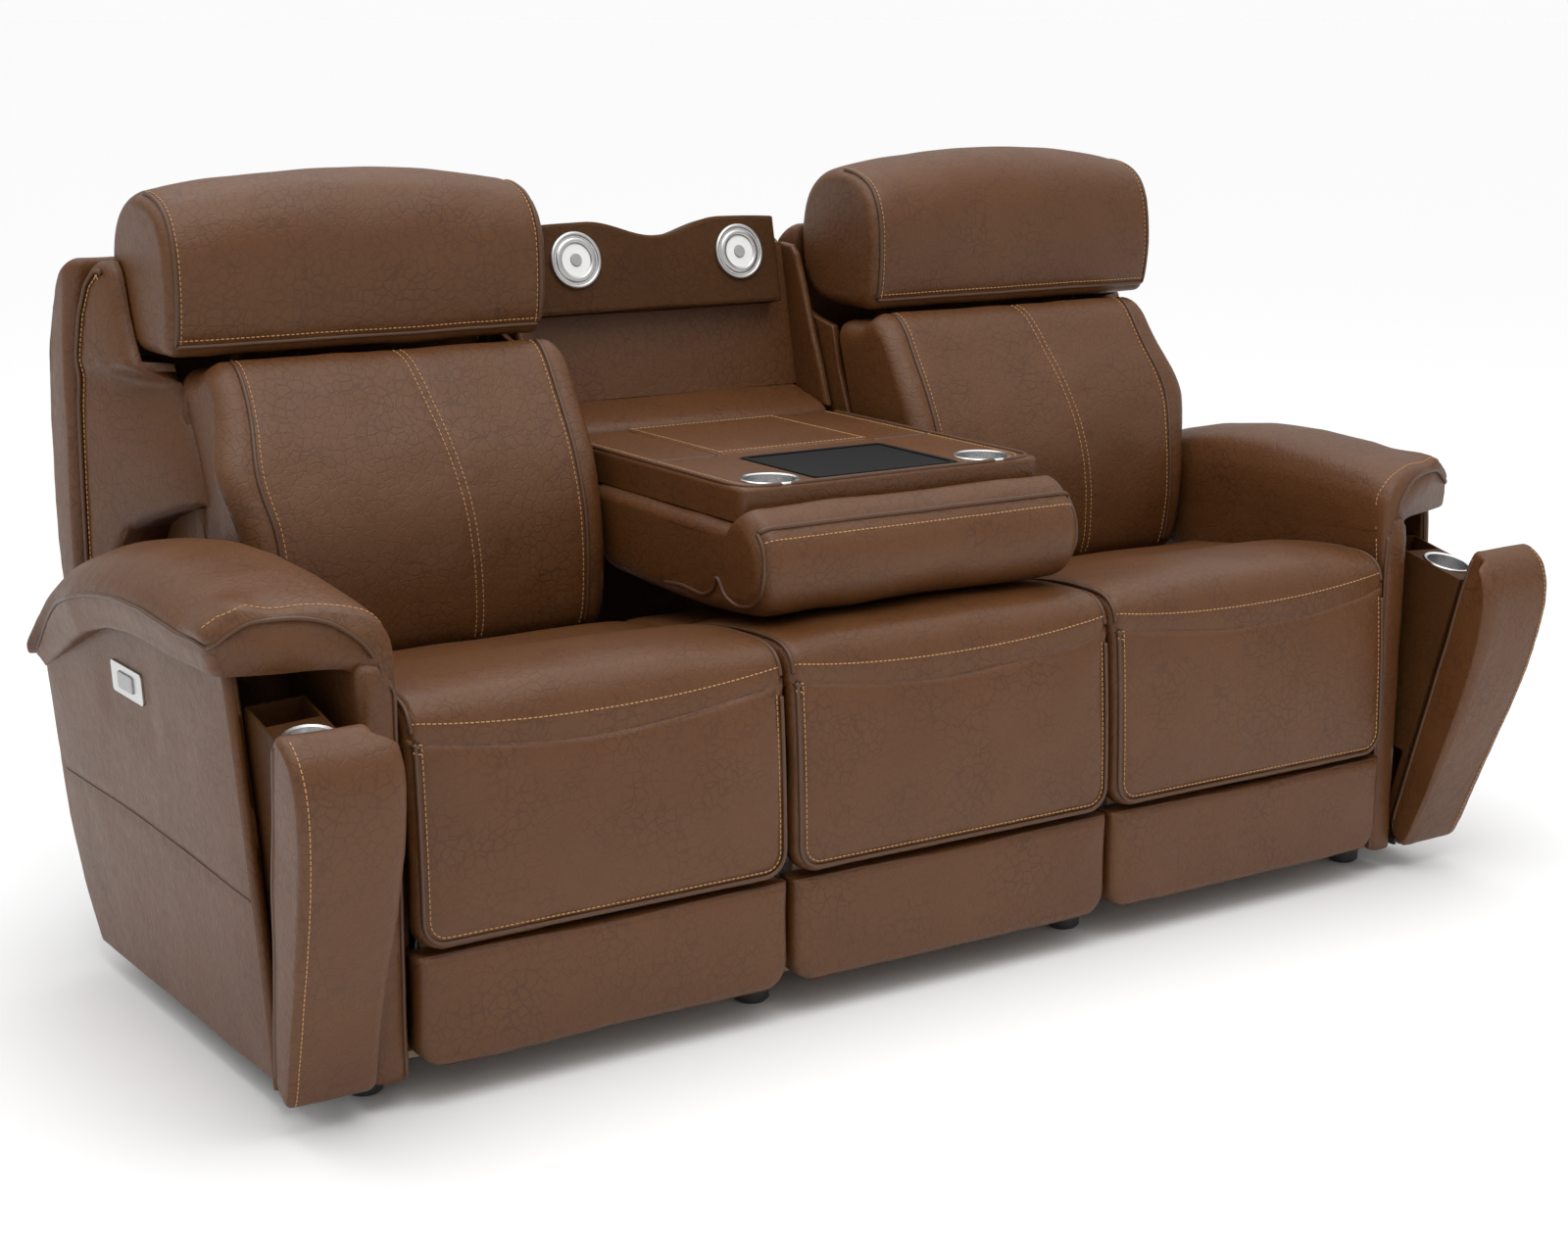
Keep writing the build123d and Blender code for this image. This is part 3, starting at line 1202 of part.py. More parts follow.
def light_lens():
    """White diffuser disc with a round opening for its button."""
    outer = LIGHT_RADIUS - LIGHT_BEZEL_WIDTH - 0.4
    disc = Pos(0, 0, -LIGHT_BUTTON_HEIGHT) * Cylinder(
        outer, LIGHT_BUTTON_HEIGHT + LIGHT_LENS_HEIGHT, align=(Align.CENTER, Align.CENTER, Align.MIN)
    )
    bore = Pos(0, 0, LIGHT_LENS_HEIGHT) * Cylinder(LIGHT_BUTTON_RADIUS + BUTTON_GAP, 2 * LIGHT_BUTTON_HEIGHT)
    return disc - bore


def light_button():
    """Round push button in the middle of a reading light."""
    low = LIGHT_LENS_HEIGHT - LIGHT_BUTTON_HEIGHT + 2.0
    button = Pos(0, 0, low) * Cylinder(
        LIGHT_BUTTON_RADIUS, LIGHT_BUTTON_HEIGHT, align=(Align.CENTER, Align.CENTER, Align.MIN)
    )
    return fillet(button.edges().group_by(Axis.Z)[-1], 1.2)


def control_plane(side):
    """Plane on an arm's outer face where the control plate sits: local Y up."""
    return Plane(origin=(side * ARM_PANEL_FOOT, PLATE_Y, PLATE_Z), x_dir=(0, side, 0), z_dir=(side, 0, 0))


def control_plate(side):
    """Metal control plate with one key opening."""
    plate = extrude(RectangleRounded(PLATE_LENGTH, PLATE_HEIGHT, PLATE_CORNER), PLATE_THICKNESS)
    plate = Pos(0, 0, 0.3) * fillet(plate.edges().group_by(Axis.Z)[-1], 1.0)
    opening = RectangleRounded(KEY_LENGTH + 2 * BUTTON_GAP, KEY_HEIGHT + 2 * BUTTON_GAP, KEY_CORNER + BUTTON_GAP)
    plate -= Pos(0, 0, -PLATE_THICKNESS) * extrude(opening, 4 * PLATE_THICKNESS)
    return leaned(control_plane(side) * plate, side)


def control_key(side):
    """Push key of a control plate."""
    key = extrude(RectangleRounded(KEY_LENGTH, KEY_HEIGHT, KEY_CORNER), KEY_DEPTH)
    key = Pos(0, 0, KEY_TRAVEL + 0.5) * fillet(key.edges().group_by(Axis.Z)[-1], 0.8)
    return leaned(control_plane(side) * key, side)


nodes = {
    "base_rails": Compound(base_rails() + centre_posts() + pad_cleats()),
    "feet": feet(),
    "seat_frames": Compound([rail for x in SEATS.values() for rail in seat_frame(x)] + [pad_board(0.0)]),
    "seat_webbing": Compound([strap for x in SEATS.values() for strap in seat_straps(x)]),
    "centre_front_pad": upper_pad(0.0),
    "centre_lower_pad": lower_pad(0.0),
    "arm_outer_panels": Compound([arm_panel(side) for side in SIDES.values()]),
    "arm_inner_walls": Compound([piece for side in SIDES.values() for piece in arm_wall(side)]),
    "bin_hinges": Compound([bin_hinge(side) for side in SIDES.values()]),
    "control_plates": Compound([control_plate(side) for side in SIDES.values()]),
    "table_slab": table_slab(),
    "table_cushion": table_cushion(),
    "table_mat": table_mat(),
    "table_cups": table_cups(),
    "table_brackets": table_brackets(),
    "centre_ledge": centre_ledge(),
    "centre_back_board": centre_board(),
    "centre_cheeks": centre_cheeks(),
    "rear_panels": Compound([centre_shell(), lower_back_panel(), lower_rear_panel()]),
    "light_panel": light_panel(),
    "mechanism_plates": Compound([plate for x in SEATS.values() for plate in mechanism_plates(x, x != 0)]),
    "drive_motors": Compound([drive_motor(side * SEAT_PITCH) for side in SIDES.values()]),
    "arm_caps": Compound([arm_cap(side) for side in SIDES.values()]),
}
for name, seat_x in SEATS.items():
    nodes[f"{name}_seat_cushion"] = seat_cushion(seat_x)

lights = {name: light_plane() * Pos(side * LIGHT_X, LIGHT_RISE, 0) for name, side in SIDES.items()}
nodes["light_bezels"] = Compound([place * light_bezel() for place in lights.values()])
nodes["light_lenses"] = Compound([place * light_lens() for place in lights.values()])

for name, side in SIDES.items():
    seat_x = side * SEAT_PITCH
    nodes[f"{name}_rear_links"] = rear_links(seat_x)
    nodes[f"{name}_front_links"] = front_links(seat_x)
    nodes[f"{name}_footrest_board"] = ottoman_frame(seat_x)
    nodes[f"{name}_footrest_pad"] = upper_pad(seat_x)
    nodes[f"{name}_footrest_lower_pad"] = lower_pad(seat_x)
    nodes[f"{name}_drive_block"] = drive_block(seat_x)
    nodes[f"{name}_back_cushion"] = back_cushion(side)
    nodes[f"{name}_back_shell"] = Compound([back_shell(side), back_wing(side), back_lining(side)])
    nodes[f"{name}_back_frame"] = Compound(back_frame(side))
    nodes[f"{name}_headrest"] = headrest(side)
    nodes[f"{name}_headrest_bracket"] = Compound(headrest_bracket(side))
    nodes[f"{name}_bin_box"] = bin_box(side)
    nodes[f"{name}_bin_front"] = bin_front(side)
    nodes[f"{name}_bin_cup"] = bin_cup(side)
    nodes[f"{name}_light_button"] = lights[name] * light_button()
    nodes[f"{name}_recline_key"] = control_key(side)

extent = Compound([shape for shape in nodes.values()]).bounding_box()
centre = Pos(0, -(extent.min.Y + extent.max.Y) / 2, -extent.min.Z)
os.makedirs("parts", exist_ok=True)
for name, shape in nodes.items():
    export_step(centre * shape, f"parts/{name}.step")
print("nodes", len(nodes), "front at", extent.min.Y, "rear at", extent.max.Y)
print("size", extent.size)
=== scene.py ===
import math

import bmesh
import bpy
import numpy as np
from mathutils import Matrix, Vector, bvhtree, kdtree, noise


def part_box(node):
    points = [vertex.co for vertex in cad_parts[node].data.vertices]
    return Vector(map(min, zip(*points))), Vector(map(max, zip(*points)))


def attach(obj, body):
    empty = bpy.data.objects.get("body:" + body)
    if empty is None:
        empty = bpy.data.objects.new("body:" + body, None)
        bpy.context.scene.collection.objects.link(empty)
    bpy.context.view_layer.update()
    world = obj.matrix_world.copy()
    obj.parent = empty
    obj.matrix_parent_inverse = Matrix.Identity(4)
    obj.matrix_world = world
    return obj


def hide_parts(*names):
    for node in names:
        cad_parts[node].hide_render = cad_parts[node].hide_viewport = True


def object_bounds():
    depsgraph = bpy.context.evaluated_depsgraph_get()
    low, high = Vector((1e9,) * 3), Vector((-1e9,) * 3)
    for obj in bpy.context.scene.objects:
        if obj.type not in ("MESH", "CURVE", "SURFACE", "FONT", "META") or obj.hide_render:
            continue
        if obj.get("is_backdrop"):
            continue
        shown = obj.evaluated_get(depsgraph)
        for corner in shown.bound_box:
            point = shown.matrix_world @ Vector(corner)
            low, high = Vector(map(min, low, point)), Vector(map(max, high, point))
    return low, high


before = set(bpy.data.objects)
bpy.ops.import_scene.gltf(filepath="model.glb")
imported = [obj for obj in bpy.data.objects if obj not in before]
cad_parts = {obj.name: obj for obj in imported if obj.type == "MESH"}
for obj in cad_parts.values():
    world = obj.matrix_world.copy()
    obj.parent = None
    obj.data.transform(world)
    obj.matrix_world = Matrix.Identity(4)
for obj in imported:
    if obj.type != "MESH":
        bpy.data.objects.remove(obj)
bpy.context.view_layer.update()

# Soft covers, seams and finishes of a three-seat power reclining sofa.
# Lengths are in millimetres until a mesh is made. Y = 0 is the front plane of the seats here,
# and SHIFT moves it to the frame's own origin.

# Offset to the frame's origin, and the layout of the seats
TABLE_FRONT = 163.0
SHIFT = np.array((0.0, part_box("table_slab")[0].y * 1000 - TABLE_FRONT, 0.0))
SIDES = {"left": -1, "right": 1}
SEAT_PITCH = 580.0
SEATS = {"left": -SEAT_PITCH, "centre": 0.0, "right": SEAT_PITCH}
SEAT_HALF = 286.0

# Mesh fineness
LOOP_POINTS = 180
CURVE_STEPS = 24
ROLL_ROWS = 9
MIDDLE_ROWS = 64
PANEL_RINGS = 30

# Seams
WELT_RADIUS = 3.4
WELT_STEP = 6.0
CORD_LIFT = 0.6
THREAD_LIFT = 0.3
STITCH_PITCH = 7.5
STITCH_LENGTH = 5.0
STITCH_RADIUS = 1.0
STITCH_OFFSET = 8.5
PINCH_DEPTH = 3.4
PINCH_WIDTH = 9.0
PUCKER_DEPTH = 0.9
PUCKER_REACH = 34.0
PUCKER_LENGTH = 17.0
FOLD_LENGTH = 150.0
FOLD_DETAIL = 62.0

# Seat cushions and front pads
SEAT_ROLL = 17.0
SEAM_SAG = 31.0
PAD_SEAM_Z = 500.0
PAD_BOTTOM = 213.0
PAD_CORNER = 42.0
PAD_BACK = 41.5
PAD_LEAN = 14.0
PAD_WELT = 9.0
LOWER_TOP = 207.5
LOWER_BOTTOM = 53.0
LOWER_CORNER = 40.0

# Backs and headrests
BACK_INNER = 293.5
BACK_OUTER = 866.5
BACK_ROLL = 34.0
FLARE = 24.0
FLARE_Z = 752.0
FLARE_SPREAD = 62.0
HEAD_MIDDLE = 608.0
HEAD_HALF = 304.0
HEAD_ROLL = 22.0
HEAD_ARCH = 30.0
SHELL_OUTER = 976.0
SHELL_ROLL = 26.0

# Arms
ARM_IN = 872.0
ARM_WALL = 53.0
ARM_PANEL_FOOT = 1025.0
ARM_PANEL_THICK = 12.0
ARM_LEAN = math.tan(math.radians(3.65))
ARM_FOOT = 40.0
CAP_OUT = 1097.0
CAP_FRONT = 100.0
CAP_REAR = 866.0
CAP_TAPER = 34.0
CAP_SKEW = 0.36
CAP_LIFT = 14.0
CAP_TUCK = 30.0

# Tilting bins
BIN_PIVOT = (30.0, 46.0)
BIN_OPEN = math.radians(13.0)
BIN_IN = 929.0
BIN_WIDTH = 122.0
BIN_OVERLAP = 24.0

# Table and recess
TABLE_TOP = 735.0
CUSHION_HALF = 286.0
BOARD_LEAN = math.tan(math.radians(12.0))
LEDGE_TOP = 768.0
BOARD_FOOT_Y = 828.0
LIGHT_HALF = 235.0
LIGHT_FOOT = 912.0
LIGHT_DEPTH = 40.0
LIGHT_HIGH = 148.0
LIGHT_DIP = 27.0
LIGHT_DROOP = 4.0
DIP_SHARE = 0.55

# Light and floor, with lengths in metres
SKY_STRENGTH = 1.5
SKY_LEVELS = [(0.0, 0.645), (0.03, 0.645), (0.12, 0.19), (1.0, 1.0)]
KEY_LIGHT = {"place": (-0.4, -1.7, 4.3), "target": (0.0, 0.0, 0.5), "size": (4.0, 2.4), "power": 58.0}
TOP_LIGHT = {"place": (-0.6, 1.0, 3.8), "target": (0.0, 0.1, 0.4), "size": (4.0, 2.0), "power": 22.0}
FLOOR_HALF = 300.0

# Camera fitted to the photo: place in millimetres, angles in degrees
CAMERA_PLACE = (-2253.0, -2907.0, 1393.0)
CAMERA_YAW = 33.80
CAMERA_PITCH = 13.11
CAMERA_ROLL = 0.30
CAMERA_FOCAL_PIXELS = 2699.0
IMAGE_WIDTH = 1600.0
IMAGE_HEIGHT = 1280.0
CAMERA_MIDDLE_ROW = 637.0


def to_metres(points):
    """Points in working millimetres as metres in the frame."""
    return (np.asarray(points, float) + SHIFT) / 1000.0


def smooth_loop(corners, count=LOOP_POINTS):
    """Closed smooth line through corner points, with points spaced evenly along it."""
    here = np.asarray(corners, float)
    after = np.roll(here, -1, axis=0)
    slope = after - np.roll(here, 1, axis=0)
    slope /= np.linalg.norm(slope, axis=1, keepdims=True)
    reach = np.linalg.norm(after - here, axis=1, keepdims=True)
    leave = slope * reach
    arrive = np.roll(slope, -1, axis=0) * reach
    t = np.arange(CURVE_STEPS)[:, None, None] / CURVE_STEPS
    fine = (2 * t**3 - 3 * t**2 + 1) * here + (t**3 - 2 * t**2 + t) * leave
    fine += (3 * t**2 - 2 * t**3) * after + (t**3 - t**2) * arrive
    return even(fine.swapaxes(0, 1).reshape(-1, 2), count)


def even(points, count, closed=True):
    """Line through points, with new points spaced evenly along it."""
    line = np.asarray(points, float)
    if closed:
        line = np.vstack([line, line[:1]])
    lengths = np.concatenate([[0.0], np.cumsum(np.linalg.norm(np.diff(line, axis=0), axis=1))])
    wanted = np.linspace(0.0, lengths[-1], count, endpoint=not closed)
    return np.stack([np.interp(wanted, lengths, line[:, axis]) for axis in range(line.shape[1])], axis=1)


def inward(loop):
    """Unit vectors that point into a closed flat loop."""
    along = np.roll(loop, -1, axis=0) - np.roll(loop, 1, axis=0)
    side = np.stack([-along[:, 1], along[:, 0]], axis=1)
    side /= np.maximum(np.linalg.norm(side, axis=1, keepdims=True), 1e-9)
    area = np.sum(loop[:, 0] * np.roll(loop[:, 1], -1) - np.roll(loop[:, 0], -1) * loop[:, 1])
    return side if area > 0 else -side


def nearest_column(loop, point):
    """Index of the loop's point closest to a given one."""
    return int(np.argmin(np.linalg.norm(loop - np.asarray(point, float), axis=1)))


def span(loop, first, last):
    """Columns of a loop between the points closest to two given ones, in half steps."""
    return np.arange(nearest_column(loop, first), nearest_column(loop, last), 0.5)


def grid_normals(grid):
    """Outward directions of a grid whose columns close on themselves."""
    along = np.gradient(grid, axis=0)
    across = np.roll(grid, -1, axis=1) - np.roll(grid, 1, axis=1)
    normals = np.cross(along, across)
    normals /= np.maximum(np.linalg.norm(normals, axis=2, keepdims=True), 1e-9)
    middle = grid.reshape(-1, 3).mean(axis=0)
    if np.sum(normals * (grid - middle)) < 0:
        normals = -normals
    return normals


def sample(grid, rows, columns):
    """Points of a grid at fractional rows and columns, either of which may be one number."""
    rows, columns = np.broadcast_arrays(np.asarray(rows, float), np.asarray(columns, float))
    rows = np.clip(rows, 0, grid.shape[0] - 1.001)
    columns = columns % grid.shape[1]
    row = np.floor(rows).astype(int)
    column = np.floor(columns).astype(int)
    down = (rows - row)[:, None]
    over = (columns - column)[:, None]
    next_column = (column + 1) % grid.shape[1]
    upper = grid[row, column] * (1 - over) + grid[row, next_column] * over
    lower = grid[row + 1, column] * (1 - over) + grid[row + 1, next_column] * over
    return upper * (1 - down) + lower * down


def loft_rows(x_first, x_last, roll):
    """X places and insets of the sections of a soft block: rolled ends and an even middle."""
    angles = np.arange(ROLL_ROWS) / ROLL_ROWS * math.pi / 2
    steps = roll * (1 - np.cos(angles))
    insets = roll * (1 - np.sin(angles))
    middle = np.linspace(x_first + roll, x_last - roll, MIDDLE_ROWS)
    places = np.concatenate([x_first + steps, middle, x_last - steps[::-1]])
    return zip(places, np.concatenate([insets, np.zeros(MIDDLE_ROWS), insets[::-1]]))


def loft_grid(loop, x_first, x_last, roll, reshape=None):
    """Grid of a soft block across X. The reshape function may bend each section further."""
    centre = (loop.min(axis=0) + loop.max(axis=0)) / 2
    size = loop.max(axis=0) - loop.min(axis=0)
    rows = []
    middle = (x_first + x_last) / 2
    half = (x_last - x_first) / 2
    for x, inset in loft_rows(x_first, x_last, roll):
        section = centre + (loop - centre) * (1 - 2 * inset / size)
        points = np.column_stack([np.full(len(loop), x), section])
        if reshape:
            points = reshape(points, (x - middle) / half)
        rows.append(points)
    return np.array(rows)


def panel_grid(outline, height, place):
    """Two-sided padded panel. Height gives front and back offset from the distance to the edge."""
    middle = outline.mean(axis=0)
    tree = search_tree([(*point, 0.0) for point in outline])
    rows = []
    steps = np.linspace(0.0, 0.985, PANEL_RINGS) ** 1.6
    for face, shares in ((1, steps[::-1]), (0, steps)):
        for share in shares:
            ring = middle + (outline - middle) * (1 - share)
            edge = np.array([tree.find((*point, 0.0))[2] for point in ring])
            rows.append(place(ring, height(edge, face)))
    return np.array(rows)


def search_tree(points):
    """Tree that finds the closest of some points."""
    tree = kdtree.KDTree(len(points))
    for index, point in enumerate(points):
        tree.insert(point, index)
    tree.balance()
    return tree


def worked(grid, seams, folds, seed, pinch=PINCH_DEPTH):
    """Grid with pulled-in seams, small puckers beside them and slow folds in the cover."""
    normals = grid_normals(grid)
    flat = grid.reshape(-1, 3)
    out = normals.reshape(-1, 3)
    lift = np.zeros(len(flat))
    tree = search_tree(np.vstack(seams)) if seams else None
    shift = Vector((seed * 37.1, seed * 11.7, seed * 5.3))
    for index, point in enumerate(flat):
        here = Vector(point)
        value = folds * noise.noise(here / FOLD_LENGTH + shift)
        value += folds * 0.45 * noise.noise(here / FOLD_DETAIL + shift)
        if tree:
            gap = tree.find(here)[2]
            value -= pinch * math.exp(-((gap / PINCH_WIDTH) ** 2))
            fade = math.exp(-gap / PUCKER_REACH)
            value += PUCKER_DEPTH * fade * noise.noise(here / PUCKER_LENGTH + shift)
            value *= 1.0 - 0.5 * math.exp(-gap / 6.0)
        lift[index] = value
    return (flat + out * lift[:, None]).reshape(grid.shape)


def quads(rows, columns):
    """Faces between neighbouring rows of points whose columns close on themselves."""
    faces = []
    for row in range(rows - 1):
        for column in range(columns):
            after = (column + 1) % columns
            faces.append((row * columns + column, row * columns + after,
                          (row + 1) * columns + after, (row + 1) * columns + column))
    return faces


def mesh_from_grid(name, grid):
    """Mesh object of a grid with closed columns and a face on both ends."""
    rows, columns = grid.shape[:2]
    faces = quads(rows, columns)
    faces.append(tuple(range(columns)))
    faces.append(tuple(reversed(range((rows - 1) * columns, rows * columns))))
    return new_mesh(name, to_metres(grid.reshape(-1, 3)), faces)


def new_mesh(name, vertices, faces):
    """Smooth-shaded mesh object with outward faces."""
    mesh = bpy.data.meshes.new(name)
    mesh.from_pydata([tuple(v) for v in vertices], [], faces)
    work = bmesh.new()
    work.from_mesh(mesh)
    bmesh.ops.remove_doubles(work, verts=work.verts, dist=0.00002)
    bmesh.ops.recalc_face_normals(work, faces=work.faces)
    work.to_mesh(mesh)
    work.free()
    mesh.shade_smooth()
    piece = bpy.data.objects.new(name, mesh)
    bpy.context.scene.collection.objects.link(piece)
    return piece


def tangents(line):
    """Unit directions along an open line of points."""
    along = np.gradient(line, axis=0)
    return along / np.maximum(np.linalg.norm(along, axis=1, keepdims=True), 1e-9)


def tube(line, radius, sides):
    """Vertices and faces of a round cord along a line."""
    vertices = []
    up = np.array((0.17, 0.31, 0.94))
    for point, direction in zip(line, tangents(line)):
        first = np.cross(direction, up)
        first /= max(np.linalg.norm(first), 1e-9)
        second = np.cross(direction, first)
        up = second if np.dot(second, up) > 0 else -second
        for index in range(sides):
            angle = 2 * math.pi * index / sides
            vertices.append(point + radius * (math.cos(angle) * first + math.sin(angle) * up))
    faces = quads(len(line), sides)
    faces.append(tuple(range(sides)))
    faces.append(tuple(range(len(vertices) - sides, len(vertices))))
    return vertices, faces


def cord_mesh(name, lines, radius, sides):
    """One object of round cords along several lines."""
    vertices = []
    faces = []
    for line in lines:
        more, rings = tube(line, radius, sides)
        start = len(vertices)
        vertices.extend(more)
        faces.extend(tuple(start + index for index in face) for face in rings)
    return new_mesh(name, to_metres(vertices), faces)


def spaced(line, pitch, least):
    """A line's points at an even pitch."""
    length = np.sum(np.linalg.norm(np.diff(line, axis=0), axis=1))
    return even(line, max(int(length / pitch), least), closed=False)


def welts(name, lines, radius=WELT_RADIUS):
    """One object of welt cords along several lines."""
    return cord_mesh(name, [spaced(line, WELT_STEP, 8) for line in lines], radius, 8)


def stitches(name, lines):
    """One object of short thread stitches along several lines."""
    threads = []
    for line in lines:
        spots = spaced(line, STITCH_PITCH, 4)
        for point, direction in zip(spots, tangents(spots)):
            reach = direction * STITCH_LENGTH / 2
            threads.append(np.array([point - reach, point - reach * 0.7, point + reach * 0.7, point + reach]))
    return cord_mesh(name, threads, STITCH_RADIUS, 5)


def cover(name, grid, body, nodes, painted_shade=False):
    """Padded leather cover made from a grid, riding on a body in place of any CAD nodes named. Its last flag
    swaps in the darker copy of the leather, which paints shade on the cover.
    """
    piece = mesh_from_grid(name, grid)
    finish_piece(piece, body, SHADED_LEATHER if painted_shade else LEATHER)
    if nodes:
        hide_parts(*nodes)
    return piece


def finish_piece(piece, body, material):
    """Gives a piece its material and the body that it moves with."""
    piece.data.materials.clear()
    piece.data.materials.append(material)
    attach(piece, body)


def trim(name, body, cords, threads):
    """Welts and stitch lines of one cover."""
    if cords:
        finish_piece(welts(f"{name}_welt", cords), body, WELT_LEATHER)
    if threads:
        finish_piece(stitches(f"{name}_stitching", threads), body, THREAD)


def snapped(line, pieces, lift):
    """Line laid on the nearest surface of some pieces and raised by a lift, all in millimetres."""
    trees = []
    for piece in pieces:
        points = [vertex.co[:] for vertex in piece.data.vertices]
        faces = [polygon.vertices[:] for polygon in piece.data.polygons]
        trees.append(bvhtree.BVHTree.FromPolygons(points, faces))
    laid = []
    for point in to_metres(line):
        hits = [tree.find_nearest(Vector(point)) for tree in trees]
        place, normal, _, _ = min(hits, key=lambda hit: hit[3])
        laid.append((place + normal * lift / 1000.0) * 1000.0)
    return np.array(laid) - SHIFT


def through(points, count):
    """Open smooth line through a few points."""
    line = even(points, count, closed=False)
    for _ in range(max(count // 12, 2)):
        line[1:-1] = (line[:-2] + 2 * line[1:-1] + line[2:]) / 4
    return line


def lifted(grid, rows, columns, height):
    """Line on a grid's surface, raised along its outward direction."""
    normals = grid_normals(grid)
    return sample(grid, rows, columns) + sample(normals, rows, columns) * height


def node_points(name, side):
    """Vertices of a CAD node on one side of the sofa, in working millimetres."""
    points = [v.co[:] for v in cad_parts[name].data.vertices if v.co.x * side > 0]
    return np.array(points) * 1000.0 - SHIFT


# Materials


def node_material(name):
    """New node material with its tree, shader and object coordinates."""
    material = bpy.data.materials.new(name)
    material.use_nodes = True
    tree = material.node_tree
    shader = tree.nodes["Principled BSDF"]
    place = tree.nodes.new("ShaderNodeTexCoord")
    return material, tree, shader, place.outputs["Object"]


def noise_node(tree, vector, scale, detail, output="Fac"):
    """Noise texture on a vector."""
    node = tree.nodes.new("ShaderNodeTexNoise")
    node.inputs["Scale"].default_value = scale
    node.inputs["Detail"].default_value = detail
    tree.links.new(vector, node.inputs["Vector"])
    return node.outputs[output]


def ramp_node(tree, value, stops):
    """Colour ramp on a value, with (place, colour) stops."""
    node = tree.nodes.new("ShaderNodeValToRGB")
    ramp = node.color_ramp
    while len(ramp.elements) < len(stops):
        ramp.elements.new(0.5)
    for element, (place, colour) in zip(ramp.elements, stops):
        element.position = place
        element.color = (*colour, 1.0)
    tree.links.new(value, node.inputs["Fac"])
    return node.outputs["Color"]


def mix_node(tree, kind, factor, first, second):
    """Colour mix of two sockets."""
    node = tree.nodes.new("ShaderNodeMix")
    node.data_type = "RGBA"
    node.blend_type = kind
    if isinstance(factor, float):
        node.inputs["Factor"].default_value = factor
    else:
        tree.links.new(factor, node.inputs["Factor"])
    tree.links.new(first, node.inputs["A"])
    tree.links.new(second, node.inputs["B"])
    return node.outputs["Result"]


def bump_node(tree, height, strength, distance, below=None):
    """Bump from a height socket, on top of another bump."""
    node = tree.nodes.new("ShaderNodeBump")
    node.inputs["Strength"].default_value = strength
    node.inputs["Distance"].default_value = distance
    tree.links.new(height, node.inputs["Height"])
    if below:
        tree.links.new(below, node.inputs["Normal"])
    return node.outputs["Normal"]


def leather(name, deep, light, roughness, gloss):
    """Brown leather: slow mottling, drawn creases with painted shade in them, and a fine grain."""
    material, tree, shader, place = node_material(name)
    slow = noise_node(tree, place, 7.0, 4.0)
    colour = ramp_node(tree, slow, [(0.25, deep), (0.75, light)])
    warp = noise_node(tree, place, 26.0, 3.0, "Color")
    bend = tree.nodes.new("ShaderNodeVectorMath")
    bend.operation = "MULTIPLY_ADD"
    bend.inputs[1].default_value = (0.03, 0.03, 0.03)
    tree.links.new(warp, bend.inputs[0])
    tree.links.new(place, bend.inputs[2])
    crease = tree.nodes.new("ShaderNodeTexVoronoi")
    crease.feature = "DISTANCE_TO_EDGE"
    crease.inputs["Scale"].default_value = 62.0
    tree.links.new(bend.outputs["Vector"], crease.inputs["Vector"])
    # Darkening along the crease lines is painted shade in the creases; the same lines also bump the surface
    line = ramp_node(tree, crease.outputs["Distance"], [(0.0, (0.60, 0.58, 0.56)), (0.10, (1.0, 1.0, 1.0))])
    patch = noise_node(tree, place, 12.0, 2.0)
    shown = ramp_node(tree, patch, [(0.36, (0.1, 0.1, 0.1)), (0.66, (0.8, 0.8, 0.8))])
    crease_shaded = mix_node(tree, "MULTIPLY", shown, colour, line)
    fine = noise_node(tree, place, 420.0, 3.0)
    speck = ramp_node(tree, fine, [(0.3, (0.86, 0.86, 0.86)), (0.7, (1.12, 1.12, 1.12))])
    final = mix_node(tree, "MULTIPLY", 0.6, crease_shaded, speck)
    tree.links.new(final, shader.inputs["Base Color"])
    rough = noise_node(tree, place, 60.0, 3.0)
    spread = tree.nodes.new("ShaderNodeMapRange")
    spread.inputs["To Min"].default_value = roughness - 0.06
    spread.inputs["To Max"].default_value = roughness + 0.08
    tree.links.new(rough, spread.inputs["Value"])
    tree.links.new(spread.outputs["Result"], shader.inputs["Roughness"])
    shader.inputs["Specular IOR Level"].default_value = gloss
    pores = tree.nodes.new("ShaderNodeTexVoronoi")
    pores.inputs["Scale"].default_value = 520.0
    tree.links.new(place, pores.inputs["Vector"])
    normal = bump_node(tree, pores.outputs["Distance"], 0.25, 0.0006)
    normal = bump_node(tree, line, 0.45, 0.0012, normal)
    normal = bump_node(tree, noise_node(tree, place, 48.0, 4.0), 0.22, 0.0035, normal)
    tree.links.new(normal, shader.inputs["Normal"])
    return material


def plain(name, colour, roughness, metallic=0.0, grain=0.0, scale=200.0, gloss=0.5):
    """Simple material with a slight procedural unevenness."""
    material, tree, shader, place = node_material(name)
    value = noise_node(tree, place, scale, 3.0)
    darker = tuple(c * (1.0 - grain) for c in colour)
    tree.links.new(ramp_node(tree, value, [(0.35, darker), (0.65, colour)]), shader.inputs["Base Color"])
    shader.inputs["Roughness"].default_value = roughness
    shader.inputs["Metallic"].default_value = metallic
    shader.inputs["Specular IOR Level"].default_value = gloss
    if grain:
        tree.links.new(bump_node(tree, value, 0.15, 0.0004), shader.inputs["Normal"])
    return material


